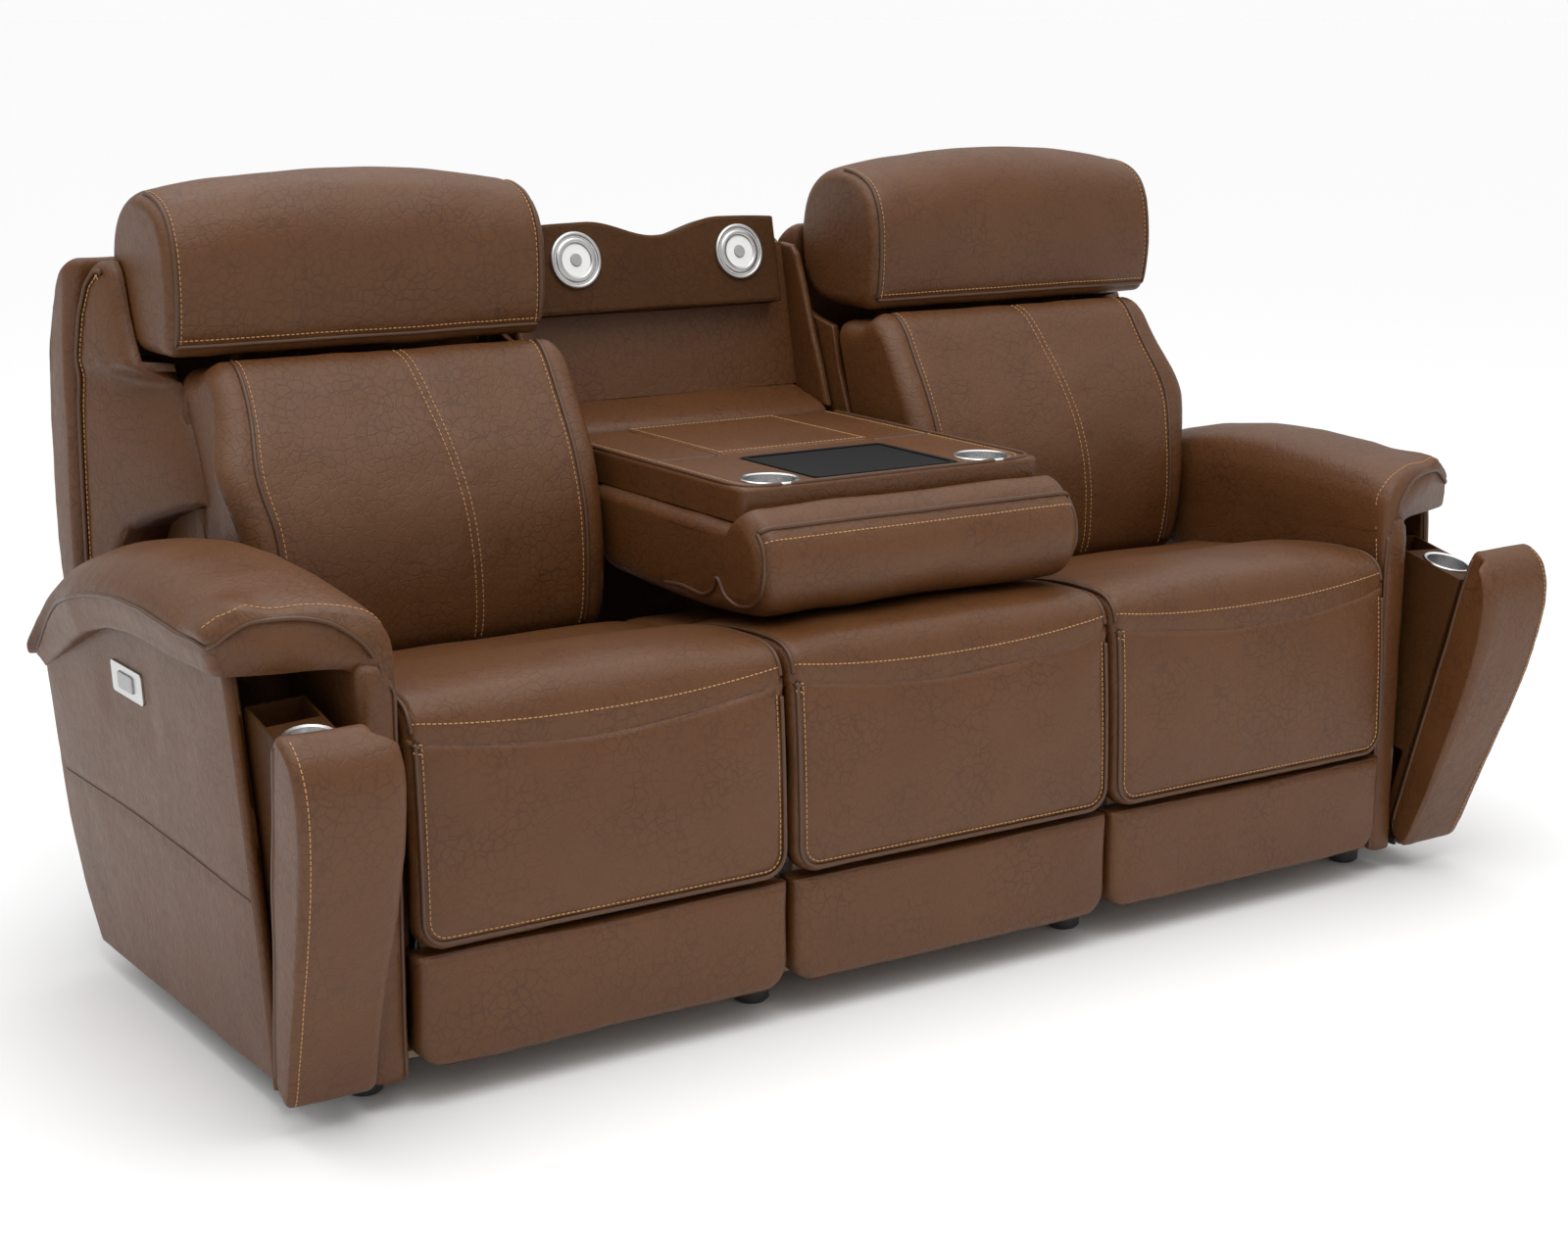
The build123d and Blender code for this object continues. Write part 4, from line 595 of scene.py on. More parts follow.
LEATHER = leather("leather", (0.098, 0.035, 0.0090), (0.114, 0.0425, 0.0118), 0.43, 0.38)
# A darker, duller copy of the leather: painted shade for parts in recesses and gaps, and for the light panel
SHADED_LEATHER = leather("dark_leather", (0.058, 0.021, 0.005), (0.070, 0.027, 0.007), 0.55, 0.16)
WELT_LEATHER = plain("welt_leather", (0.088, 0.035, 0.012), 0.45, grain=0.2, scale=300.0)
THREAD = plain("thread", (0.46, 0.25, 0.10), 0.7, grain=0.2, scale=900.0)
HARDWOOD = plain("hardwood", (0.42, 0.28, 0.16), 0.6, grain=0.35, scale=40.0)
STEEL = plain("steel", (0.020, 0.019, 0.018), 0.5, metallic=0.2, grain=0.15, scale=90.0)
CHROME = plain("chrome", (0.90, 0.90, 0.90), 0.24, metallic=1.0)
BRUSHED = plain("brushed", (0.62, 0.62, 0.61), 0.34, metallic=1.0, grain=0.12, scale=500.0)
PLASTIC = plain("plastic", (0.03, 0.028, 0.027), 0.5, grain=0.2)
WEBBING = plain("webbing", (0.10, 0.09, 0.08), 0.9, grain=0.4, scale=800.0)
RUBBER = plain("rubber", (0.008, 0.008, 0.009), 0.7, grain=0.3, scale=900.0, gloss=0.2)
LENS = plain("lens", (0.92, 0.92, 0.91), 0.35)
KEY = plain("key", (0.40, 0.40, 0.40), 0.4, grain=0.1)

FINISHES = {
    HARDWOOD: ("base_rails", "seat_frames", "footrest_board"),
    WEBBING: ("seat_webbing",),
    PLASTIC: ("feet", "drive_motors", "drive_block"),
    STEEL: (
        "bin_hinges", "table_brackets", "mechanism_plates", "rear_links", "front_links", "headrest_bracket",
    ),
    BRUSHED: ("control_plates", "light_bezels"),
    CHROME: ("table_cups", "bin_cup"),
    RUBBER: ("table_mat",),
    LENS: ("light_lenses",),
    KEY: ("light_button", "recline_key"),
    # The back frame and the bin box sit in recesses; the darker copy of the leather paints their shade
    SHADED_LEATHER: ("back_frame", "bin_box"),
}
for node_name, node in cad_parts.items():
    chosen = [material for material, endings in FINISHES.items() if node_name.endswith(endings)]
    node.data.materials.clear()
    node.data.materials.append(chosen[0] if chosen else LEATHER)


# Seat cushions

SEAT_LOOP = smooth_loop([
    (20, 482), (13, 497), (14, 512), (22, 528), (38, 540), (64, 547), (104, 549), (160, 546),
    (220, 538), (272, 526), (298, 517), (330, 512), (400, 503), (470, 490), (488, 476),
    (489, 430), (476, 410), (280, 408), (110, 410), (76, 424), (66, 452), (48, 474),
])


def seam_sag(share):
    """How far the seam under the seat roll hangs down, from end to end of a seat."""
    return SEAM_SAG * (1 - np.abs(share) ** 2.2)


def seat_shape(points, share):
    """Crowns the seat across its width and lets the front seam hang."""
    bent = points.copy()
    y = points[:, 1]
    z = points[:, 2]
    front = np.clip((120 - y) / 100, 0, 1) * np.clip((542 - z) / 40, 0, 1)
    bent[:, 2] -= seam_sag(share) * front
    crown = 7.0 * (1 - abs(share) ** 2.5)
    bent[:, 2] += (crown - 4.0) * np.clip((z - 470) / 50, 0, 1) * np.clip((y - 30) / 60, 0, 1)
    return bent


for seat, seat_x in SEATS.items():
    grid = loft_grid(SEAT_LOOP, seat_x - SEAT_HALF, seat_x + SEAT_HALF, SEAT_ROLL, seat_shape)
    rows = np.arange(ROLL_ROWS - 3, grid.shape[0] - ROLL_ROWS + 3)
    columns = span(SEAT_LOOP, (14, 506), (300, 516))
    low = columns[0]
    edge_rows = (ROLL_ROWS - 4, grid.shape[0] - ROLL_ROWS + 3)
    seams = [sample(grid, row, columns) for row in edge_rows]
    seams += [sample(grid, rows, column) for column in (low, nearest_column(SEAT_LOOP, (306, 515)))]
    grid = worked(grid, seams, 2.6, 3 + seat_x / SEAT_PITCH)
    cover(f"{seat}_seat_cover", grid, "frame", [f"{seat}_seat_cushion"])
    cords = [lifted(grid, row, columns, CORD_LIFT) for row in edge_rows]
    trim(f"{seat}_seat", "frame", cords, [lifted(grid, rows, low + 2.0, THREAD_LIFT)])


# Front pads


def rounded_pad(low, high, corner, sag):
    """Outline of a front pad in (x, z): round lower corners and a hanging top edge."""
    half = SEAT_HALF - 0.5
    points = []
    for share in np.linspace(1, -1, 41):
        points.append((share * half, high - (seam_sag(share) if sag else 0.0)))
    for side, first in ((-1, math.pi), (1, 1.5 * math.pi)):
        for angle in np.linspace(first, first + math.pi / 2, 14):
            x = side * (half - corner) + corner * math.cos(angle)
            points.append((x, low + corner + corner * math.sin(angle)))
    return even(points, 220)


def rolled(edge, roll):
    """How far a round edge falls back at a distance from it."""
    near = np.clip(edge, 0, roll)
    return roll - np.sqrt(np.maximum(roll**2 - (roll - near) ** 2, 0))


def pad_height(bulge, roll, thickness):
    """Offsets of a pad's face: rolled edge, then a slow bulge; the back is flat."""
    def height(edge, face):
        if face == 1:
            return np.full(len(edge), -thickness)
        return bulge * (1 - np.exp(-edge / 60.0)) - rolled(edge, roll)
    return height


def front_place(seat_x, low, high, lean):
    """Places a pad's flat points on the front of a seat."""
    def place(ring, height):
        rise = np.clip((ring[:, 1] - low) / (high - low), 0, 1)
        return np.column_stack([seat_x + ring[:, 0], lean * rise**2 - height, ring[:, 1]])
    return place


def outline_line(outline, first, last, inset):
    """Part of an outline between two shares of its length, moved inwards."""
    ring = outline + inward(outline) * inset
    count = len(ring)
    picks = np.arange(int(first * count), int(last * count)) % count
    return ring[picks]


UPPER_OUTLINE = rounded_pad(PAD_BOTTOM, PAD_SEAM_Z - 3.0, PAD_CORNER, True)
LOWER_OUTLINE = rounded_pad(LOWER_BOTTOM, LOWER_TOP, LOWER_CORNER, False)
for seat, seat_x in SEATS.items():
    body = "frame" if seat == "centre" else f"{seat}_footrest"
    upper_node = "centre_front_pad" if seat == "centre" else f"{seat}_footrest_pad"
    lower_node = "centre_lower_pad" if seat == "centre" else f"{seat}_footrest_lower_pad"
    place = front_place(seat_x, PAD_BOTTOM, PAD_SEAM_Z, PAD_LEAN)
    height = pad_height(9.0, 13.0, PAD_BACK - PAD_LEAN)
    grid = panel_grid(UPPER_OUTLINE, height, place)
    around = outline_line(UPPER_OUTLINE, 0.335, 0.995, PAD_WELT)
    inside = outline_line(UPPER_OUTLINE, 0.335, 0.995, PAD_WELT + STITCH_OFFSET)
    welt_line = place(around, height(PAD_WELT, 0))
    thread_line = place(inside, height(PAD_WELT + STITCH_OFFSET, 0) + 0.1)
    grid = worked(grid, [welt_line], 2.4, 11 + seat_x / SEAT_PITCH)
    cover(f"{seat}_front_pad_cover", grid, body, [upper_node])
    trim(f"{seat}_front_pad", body, [welt_line], [thread_line])
    place = front_place(seat_x, LOWER_BOTTOM, LOWER_TOP, 0.0)
    grid = panel_grid(LOWER_OUTLINE, pad_height(7.0, 14.0, PAD_BACK), place)
    grid = worked(grid, [], 2.0, 17 + seat_x / SEAT_PITCH)
    cover(f"{seat}_lower_pad_cover", grid, body, [lower_node])


# Back cushions

BACK_LOOP = smooth_loop([
    (512, 474), (496, 500), (487, 560), (487, 620), (493, 668), (510, 720), (537, 775), (574, 832),
    (602, 874), (620, 892), (642, 901), (660, 897), (682, 887), (710, 884), (736, 882), (756, 872),
    (750, 846), (732, 788), (702, 716), (656, 620), (620, 530), (600, 478), (560, 468), (528, 466),
])


def back_shape(side):
    """Flares the outer end of a back cushion above the arm."""
    def shape(points, share):
        bent = points.copy()
        z = points[:, 2]
        outer = max(share * side, 0.0) ** 3
        flare = FLARE * np.exp(-(((z - FLARE_Z) / FLARE_SPREAD) ** 2))
        bent[:, 0] += side * outer * flare
        return bent
    return shape


for name, side in SIDES.items():
    ends = sorted((side * BACK_INNER, side * BACK_OUTER))
    grid = loft_grid(BACK_LOOP, *ends, BACK_ROLL, back_shape(side))
    last = grid.shape[0] - 1
    columns = span(BACK_LOOP, (500, 490), (642, 901))
    edge_rows = (ROLL_ROWS + 1.0, last - ROLL_ROWS - 1.0)
    rise = np.linspace(0, 1, len(columns))
    bow = ROLL_ROWS + MIDDLE_ROWS * (0.62 - 0.10 * rise**1.7)
    seams = [sample(grid, row, columns) for row in (*edge_rows, bow)]
    grid = worked(grid, seams, 3.0, 23 + side)
    body = f"{name}_back"
    cover(f"{name}_back_cover", grid, body, [f"{name}_back_cushion"])
    cords = [lifted(grid, row, columns, CORD_LIFT) for row in edge_rows]
    thread_rows = (edge_rows[0] + 1.0, edge_rows[1] - 1.0, bow - 0.7, bow + 0.7)
    trim(f"{name}_back", body, cords, [lifted(grid, row, columns, THREAD_LIFT) for row in thread_rows])


# Headrests

HEAD_LOOP = smooth_loop([
    (672, 908), (657, 930), (650, 985), (651, 1040), (658, 1085), (676, 1124), (706, 1148),
    (752, 1160), (800, 1154), (836, 1132), (860, 1098), (872, 1050), (872, 1000), (864, 950), (842, 920),
    (800, 907), (748, 905), (712, 905),
])


def head_shape(points, share):
    """Arches the top of a headrest down towards its ends."""
    bent = points.copy()
    rise = np.clip((points[:, 2] - 980) / 180, 0, 1)
    bent[:, 2] -= HEAD_ARCH * abs(share) ** 2.2 * rise
    return bent


for name, side in SIDES.items():
    middle = side * HEAD_MIDDLE
    grid = loft_grid(HEAD_LOOP, middle - HEAD_HALF, middle + HEAD_HALF, HEAD_ROLL, head_shape)
    last = grid.shape[0] - 1
    columns = span(HEAD_LOOP, (660, 922), (760, 1160))
    low = columns[0]
    edge_rows = (ROLL_ROWS - 2.0, last - ROLL_ROWS + 2.0)
    rows = np.arange(edge_rows[0], edge_rows[1] + 0.5, 0.5)
    seams = [sample(grid, row, columns) for row in edge_rows]
    seams.append(sample(grid, rows, low))
    grid = worked(grid, seams, 3.0, 31 + side)
    body = f"{name}_headrest"
    cover(f"{name}_headrest_cover", grid, body, [f"{name}_headrest"])
    cords = [lifted(grid, row, columns, CORD_LIFT) for row in edge_rows]
    cords.append(lifted(grid, rows, low, CORD_LIFT))
    thread_rows = (edge_rows[0] + 1.6, edge_rows[1] - 1.6)
    threads = [lifted(grid, row, columns + 1.6, THREAD_LIFT) for row in thread_rows]
    threads.append(lifted(grid, rows[3:-3], low + 2.2, THREAD_LIFT))
    trim(f"{name}_headrest", body, cords, threads)


# Rear shells

SHELL_LOOP = smooth_loop([
    (906, 520), (906, 600), (906, 700), (906, 790), (905, 850), (900, 910), (892, 960), (884, 1000),
    (882, 1020), (888, 1032), (902, 1030), (926, 1010), (950, 980), (972, 945), (992, 900),
    (1006, 820), (1010, 740), (1003, 640), (988, 550), (976, 512), (940, 506), (915, 508),
])
for name, side in SIDES.items():
    ends = sorted((side * BACK_INNER, side * SHELL_OUTER))
    grid = loft_grid(SHELL_LOOP, *ends, SHELL_ROLL)
    last = grid.shape[0] - 1
    outer_row = ROLL_ROWS - 3.0 if side < 0 else last - ROLL_ROWS + 3.0
    columns = span(SHELL_LOOP, (950, 980), (976, 512))
    grid = worked(grid, [sample(grid, outer_row, columns)], 2.4, 41 + side)
    body = f"{name}_back"
    cover(f"{name}_shell_cover", grid, body, [f"{name}_back_shell"])
    cord = lifted(grid, outer_row, columns, CORD_LIFT)
    thread = lifted(grid, outer_row - 1.6 * side, columns, THREAD_LIFT)
    trim(f"{name}_shell", body, [cord], [thread])


# Side wings and linings of the backs

WING_OUTER = 968.0
WING_ROLL = 14.0
WING_TURN = 852.0
WING_STEP = 890.0
WING_REAR = 904.0
WING_BACK = 200.0
HEAD_END = HEAD_MIDDLE + HEAD_HALF + 2.0
WING_LOW_X = BACK_OUTER + 4.0
WING_HIGH_X = HEAD_END + WING_ROLL + 2.0
WING_EDGE = np.array([
    (642, 694), (664, 752), (690, 802), (718, 846), (748, 882), (774, 920), (794, 962), (806, 994),
    (818, 1020), (834, 1033),
], float)
WING_REST = [
    (854, 1030), (874, 1004), (890, 956), (899, 900), (904, 820), (904, 700), (904, 600), (904, 512),
    (880, 514), (860, 534), (840, 576), (820, 614), (800, 642), (760, 660), (700, 680),
]
WING_OUTLINE = even(np.vstack([WING_EDGE, WING_REST]), 240)
LINING_OUTLINE = even([
    (624, 472), (648, 580), (682, 690), (714, 780), (744, 860), (800, 872), (844, 870), (902, 832),
    (902, 700), (902, 516), (760, 494),
], 200)
INNER_LINING_OUTLINE = even([
    (600, 486), (648, 600), (694, 716), (730, 800), (750, 872), (800, 882), (852, 900), (880, 870),
    (903, 800), (903, 700), (903, 520), (760, 496),
], 200)


def wing_place(side):
    """Places a wing's points: its outer face widens from its front edge to the shell."""
    def place(ring, height):
        front = np.interp(ring[:, 1], WING_EDGE[:, 1], WING_EDGE[:, 0])
        share = np.clip((ring[:, 0] - front) / (WING_REAR - front), 0, 1)
        rise = np.clip((ring[:, 1] - WING_TURN) / (WING_STEP - WING_TURN), 0, 1)
        start = WING_LOW_X + (WING_HIGH_X - WING_LOW_X) * rise**2 * (3 - 2 * rise)
        outer = start + (WING_OUTER - start) * share**0.85
        inner = np.where(ring[:, 1] > WING_STEP, HEAD_END, BACK_OUTER + 1.0)
        x = np.where(height < -WING_BACK / 2, inner, outer + height)
        return np.column_stack([side * x, ring])
    return place


def flat_place(x, turn):
    """Places a flat panel's points on a plane across X, with its face turned one way."""
    def place(ring, height):
        return np.column_stack([x + turn * height, ring])
    return place


for name, side in SIDES.items():
    body = f"{name}_back"
    place = wing_place(side)
    height = pad_height(4.0, WING_ROLL, WING_BACK)
    first = nearest_column(WING_OUTLINE, (824, 1026)) / len(WING_OUTLINE)
    last = nearest_column(WING_OUTLINE, (904, 520)) / len(WING_OUTLINE)
    around = outline_line(WING_OUTLINE, first, last, WING_ROLL)
    inside = outline_line(WING_OUTLINE, first, last, WING_ROLL + STITCH_OFFSET)
    welt_line = place(around, height(WING_ROLL, 0) + 1.0)
    thread_line = place(inside, height(WING_ROLL + STITCH_OFFSET, 0) + 0.6)
    grid = worked(panel_grid(WING_OUTLINE, height, place), [welt_line], 1.6, 45 + side)
    cover(f"{name}_wing_cover", grid, body, [f"{name}_back_shell"])
    trim(f"{name}_wing", body, [welt_line], [thread_line])
    thin = pad_height(0.0, 2.0, 12.0)
    grid = panel_grid(LINING_OUTLINE, thin, flat_place(side * BACK_OUTER, side))
    cover(f"{name}_lining_cover", grid, body, [f"{name}_back_shell"])
    grid = panel_grid(INNER_LINING_OUTLINE, thin, flat_place(side * (BACK_INNER - 4.0), -side))
    cover(f"{name}_inner_lining_cover", grid, body, [f"{name}_back_shell"])


# Arms

ARM_TOP_LINE = np.array([
    (92, 573), (180, 580), (300, 585), (394, 584), (480, 574), (570, 552), (654, 522), (720, 494),
    (790, 464), (846, 440),
], float)
CAP_TOP_LINE = np.array([
    (92, 664), (110, 671), (140, 680), (220, 692), (320, 698), (420, 694), (520, 681), (600, 663),
    (684, 636), (740, 602), (794, 556), (840, 508), (866, 474),
], float)
OUTER_FRONT = np.array([(78, ARM_FOOT), (84, 200), (92, 360), (100, 480), (109, 570), (113, 588)])
INNER_FRONT = np.array([(21, ARM_FOOT), (21, 250), (21, 440), (21, 560), (25, 590), (42, 600)])


def arm_outline(front_line, top_lift, first):
    """Outline of an arm wall in (y, z): front edge, top line from a given point, and rear edge."""
    points = list(front_line)
    points += [(y, z + top_lift) for y, z in ARM_TOP_LINE[first:]]
    points += [(842, 330), (826, 220), (790, 120), (742, ARM_FOOT)]
    return even(points, 240)


def wall_height(bulge, roll, thickness):
    """Offsets of a padded wall: both faces roll over at the edge."""
    def height(edge, face):
        if face == 1:
            return rolled(edge, roll) - thickness
        return bulge * (1 - np.exp(-edge / 70.0)) - rolled(edge, roll)
    return height


def outer_place(side):
    """Places the outer panel's points on the leaning outside of an arm."""
    def place(ring, height):
        x = ARM_PANEL_FOOT + (ring[:, 1] - ARM_FOOT) * ARM_LEAN + height
        return np.column_stack([side * x, ring])
    return place


def cap_section(y, top, low, close):
    """Section of an arm cap in (x, z): inner side, crown, outer lip and band."""
    inner = ARM_IN - 0.4
    outer = CAP_OUT - 1.0 - CAP_TAPER * np.clip((y - 600) / 266, 0, 1)
    thick = top - low
    lip = 0.42 + 0.22 * np.clip((190 - y) / 90, 0, 1)
    tuck = CAP_TUCK * np.clip((y - 120) / 120, 0, 1)
    section = np.array([
        (inner + 3 + 0.15 * tuck, low - 16 - tuck), (inner + 0.04 * tuck, low - 12 - 0.5 * tuck),
        (inner, low + 0.10 * thick), (inner + 1, low + 0.30 * thick), (inner + 6, low + 0.54 * thick),
        (inner + 22, low + 0.81 * thick), (inner + 52, low + 0.95 * thick), (inner + 98, top),
        (inner + 142, low + 0.97 * thick), (inner + 180, low + (0.44 + lip) * thick),
        (inner + 206, low + (0.26 + lip) * thick), (outer - 3, low + (0.08 + lip) * thick),
        (outer, low + lip * thick), (outer - 4, low + (lip - 0.12) * thick), (outer - 10, low + 0.12 * thick),
        (outer - 14, low + 1), (outer - 40, low - 1.0), (inner + 60, low + 0.5),
        (inner + 40, low - 14 - tuck),
    ])
    middle = np.array(((inner + outer) / 2, low + thick * 0.35))
    return section * close + middle * (1 - close)


CAP_COUNT = 84
EDGE_ROLL = 9.0
SEAM_RADIUS = 1.5
PLATE_MARGIN = 22.0
PLATE_FADE = 45.0
CAVITY_Y = 242.0
CAVITY_OUTLINE = [(924, 60), (1012, 60), (1044, 580), (924, 580)]
GAP_Y = 54.0
GAP_OUTLINE = [(852, 62), (874, 62), (874, 470), (852, 470)]
ARM_BORDER = [
    (1045, 84, 657), (980, 62, 660), (944, 48, 651), (905, 37, 620), (883, 30, 568), (876, 25, 518),
    (873, 21, 440), (873, 21, 220), (873, 21, 45),
]
ARM_BORDER_STITCH = [
    (1088, 112, 650), (1045, 97, 664), (980, 76, 672), (940, 62, 664), (896, 52, 634), (877, 46, 585),
    (872, 40, 530), (872, 35, 440), (872, 35, 220), (872, 35, 45),
]


def lining_place(side, depth):
    """Places a lining's (x, z) points on a plane across the sofa."""
    def place(ring, height):
        return np.column_stack([side * ring[:, 0], depth - height, ring[:, 1]])
    return place


def pressed(grid, side):
    """Grid of an outer panel with the cover pressed flat round the control plate."""
    plate = node_points("control_plates", side)
    low = plate.min(axis=0) - PLATE_MARGIN
    high = plate.max(axis=0) + PLATE_MARGIN
    away_y = np.maximum(np.maximum(low[1] - grid[..., 1], grid[..., 1] - high[1]), 0)
    away_z = np.maximum(np.maximum(low[2] - grid[..., 2], grid[..., 2] - high[2]), 0)
    near = np.clip(1 - np.hypot(away_y, away_z) / PLATE_FADE, 0, 1)
    limit = ARM_PANEL_FOOT + (grid[..., 2] - ARM_FOOT) * ARM_LEAN
    over = np.maximum(grid[..., 0] * side - limit, 0)
    flat = grid.copy()
    flat[..., 0] -= side * over * near
    return flat


def cap_row(side, share):
    """One section of an arm cap. Its front slants back towards the outer side."""
    y = CAP_FRONT + (CAP_REAR - CAP_FRONT) * share
    top = np.interp(y, CAP_TOP_LINE[:, 0], CAP_TOP_LINE[:, 1])
    low = np.interp(min(y, 846), ARM_TOP_LINE[:, 0], ARM_TOP_LINE[:, 1]) + 0.6
    low += CAP_LIFT * np.clip((260 - y) / 160, 0, 1) ** 1.5
    start = math.sin(min(share / 0.022, 1) * math.pi / 2)
    stop = math.sin(min((1 - share) / 0.03, 1) * math.pi / 2)
    section = smooth_loop(cap_section(y, top, low, 0.93 + 0.07 * min(start, stop)), 120)
    slant = CAP_SKEW * (CAP_OUT - section[:, 0]) * max(1 - share / 0.4, 0) ** 2
    return np.column_stack([side * section[:, 0], y - slant, section[:, 1]])


for name, side in SIDES.items():
    place = outer_place(side)
    grid = panel_grid(arm_outline(OUTER_FRONT, 12.0, 1), wall_height(5.0, 6.0, ARM_PANEL_THICK), place)
    mid_y = np.linspace(116, 812, 120)
    mid_line = np.column_stack([mid_y, 285 + 14 * np.sin((mid_y - 116) / 260)])
    seam = place(mid_line, 4.6)
    grid = pressed(worked(grid, [seam], 1.8, 51 + side, 2.6), side)
    panel = cover(f"{name}_arm_outer_cover", grid, "frame", ["arm_outer_panels"])
    edge = place(OUTER_FRONT + np.array((7.0, 0.0)), -1.0)
    roll = welts(f"{name}_arm_edge_roll", [through(edge, 90)], EDGE_ROLL)
    finish_piece(roll, "frame", LEATHER)
    seam_cord = welts(f"{name}_arm_outer_seam", [snapped(seam, [panel], 0.2)], SEAM_RADIUS)
    finish_piece(seam_cord, "frame", WELT_LEATHER)
    place = flat_place(side * ARM_IN, -side)
    grid = panel_grid(arm_outline(INNER_FRONT, 20.0, 0), wall_height(0.0, 16.0, ARM_WALL), place)
    grid = worked(grid, [], 1.8, 61 + side)
    wall = cover(f"{name}_arm_inner_cover", grid, "frame", ["arm_inner_walls"])
    grid = np.array([cap_row(side, share) for share in np.linspace(0, 1, CAP_COUNT)])
    lip = int(np.argmax(np.abs(grid[CAP_COUNT // 2, :, 0])))
    rows = np.arange(0.8, CAP_COUNT - 3.0, 0.5)
    grid = worked(grid, [sample(grid, rows, lip)], 1.8, 61 + side, 2.6)
    cap = cover(f"{name}_arm_cap_cover", grid, "frame", ["arm_caps"])
    corner = sample(grid, rows[:1], lip)[0]
    border = through([corner] + [(side * x, y, z) for x, y, z in ARM_BORDER], 150)
    inside = through([(side * x, y, z) for x, y, z in ARM_BORDER_STITCH], 150)
    cords = [lifted(grid, rows, lip, 0.8), snapped(border, [cap, wall], 1.0)]
    trim(f"{name}_arm_cap", "frame", cords, [snapped(inside, [cap, wall], 0.2)])
    # Dark linings at the back of the bin cavity and in the gap beside the seat, in the darker copy of the
    # leather: the cavity has a real lining, but its darkness and the whole gap sheet are painted shade
    for part, outline, depth in (("cavity", CAVITY_OUTLINE, CAVITY_Y), ("gap", GAP_OUTLINE, GAP_Y)):
        grid = panel_grid(even(outline, 120), wall_height(2.0, 3.0, 6.0), lining_place(side, depth))
        lining = mesh_from_grid(f"{name}_arm_{part}_lining", grid)
        finish_piece(lining, "frame", SHADED_LEATHER)


# Tilting bin fronts

BIN_LOOP = smooth_loop([
    (3, 52), (-10, 120), (-23, 209), (-37, 310), (-45, 400), (-44, 465), (-35, 517), (-14, 552),
    (14, 568), (38, 566), (45, 545), (45, 400), (45, 240), (45, 100), (38, 66), (18, 50),
])


def bin_turn(points, side):
    """Leans a bin front like the outer wall and tips it open about its hinge."""
    bent = points.copy()
    bent[:, 0] += side * (points[:, 2] - ARM_FOOT) * ARM_LEAN
    y = points[:, 1] - BIN_PIVOT[0]
    z = points[:, 2] - BIN_PIVOT[1]
    bent[:, 1] = BIN_PIVOT[0] + y * math.cos(BIN_OPEN) - z * math.sin(BIN_OPEN)
    bent[:, 2] = BIN_PIVOT[1] + y * math.sin(BIN_OPEN) + z * math.cos(BIN_OPEN)
    return bent


def bin_shape(side):
    """Widens a bin front towards its top on the inner side, in front of the arm's border."""
    def shape(points, share):
        bent = points.copy()
        inner = max(-share * side, 0.0) ** 4
        rise = np.clip((points[:, 2] - 150) / 380, 0, 1)
        ahead = np.clip((14 - points[:, 1]) / 14, 0, 1)
        bent[:, 0] -= side * BIN_OVERLAP * inner * rise * ahead
        return bin_turn(bent, side)
    return shape


for name, side in SIDES.items():
    ends = sorted((side * BIN_IN, side * (BIN_IN + BIN_WIDTH)))
    grid = loft_grid(BIN_LOOP, *ends, 12.0, bin_shape(side))
    last = grid.shape[0] - 1
    columns = span(BIN_LOOP, (3, 60), (14, 568))
    rear_columns = span(BIN_LOOP, (40, 562), (40, 70))
    edge_rows = (ROLL_ROWS - 1.0, last - ROLL_ROWS + 1.0)
    grid = worked(grid, [sample(grid, row, columns) for row in edge_rows], 2.0, 71 + side, 0.8)
    body = f"{name}_bin"
    cover(f"{name}_bin_front_cover", grid, body, [f"{name}_bin_front"])
    cords = [lifted(grid, row, rear_columns, -1.0) for row in (2.0, last - 2.0)]
    outer_row = edge_rows[0] if side < 0 else edge_rows[1]
    trim(f"{name}_bin_front", body, cords, [lifted(grid, outer_row - 1.5 * side, columns, THREAD_LIFT)])


# Table

TABLE_LOOP = smooth_loop([
    (200, 684), (174, 684), (158, 690), (153, 703), (143, 711), (124, 706), (100, 690), (84, 664),
    (77, 632), (80, 602), (94, 576), (124, 559), (180, 553), (260, 549), (360, 550), (460, 553),
    (530, 560), (562, 584), (572, 630), (571, 676), (540, 684), (360, 684),
])
EAR_LINE = [
    (88, 664), (84, 628), (96, 592), (124, 571), (158, 568), (186, 582), (202, 610), (212, 584), (244, 570),
    (300, 575), (350, 570),
]
grid = loft_grid(TABLE_LOOP, -CUSHION_HALF, CUSHION_HALF, 30.0)
rows = np.arange(4.0, grid.shape[0] - 4.5, 0.5)
front_column = nearest_column(TABLE_LOOP, (100, 690))
front_line = sample(grid, rows, front_column)
ears = []
for side, tip in ((-1, front_line[0]), (1, front_line[-1])):
    ears.append(through([tip] + [(side * (CUSHION_HALF - 1.0), y, z) for y, z in EAR_LINE], 130))
grid = worked(grid, [front_line, *ears], 3.4, 83)
pillow = cover("table_cushion_cover", grid, "table", ["table_cushion"])
cords = [lifted(grid, rows, front_column, 0.8)] + [snapped(ear, [pillow], 0.8) for ear in ears]
trim("table_cushion", "table", cords, [lifted(grid, rows, front_column + 3.0, THREAD_LIFT)])


TABLE_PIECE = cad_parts["table_slab"]
TABLE_EDGE = [(-262, 700), (-262, 180), (-250, 169), (250, 169), (262, 180), (262, 700)]
INSET_HALF = 140.0
INSET_FRONT = 430.0
INSET_REAR = 706.0


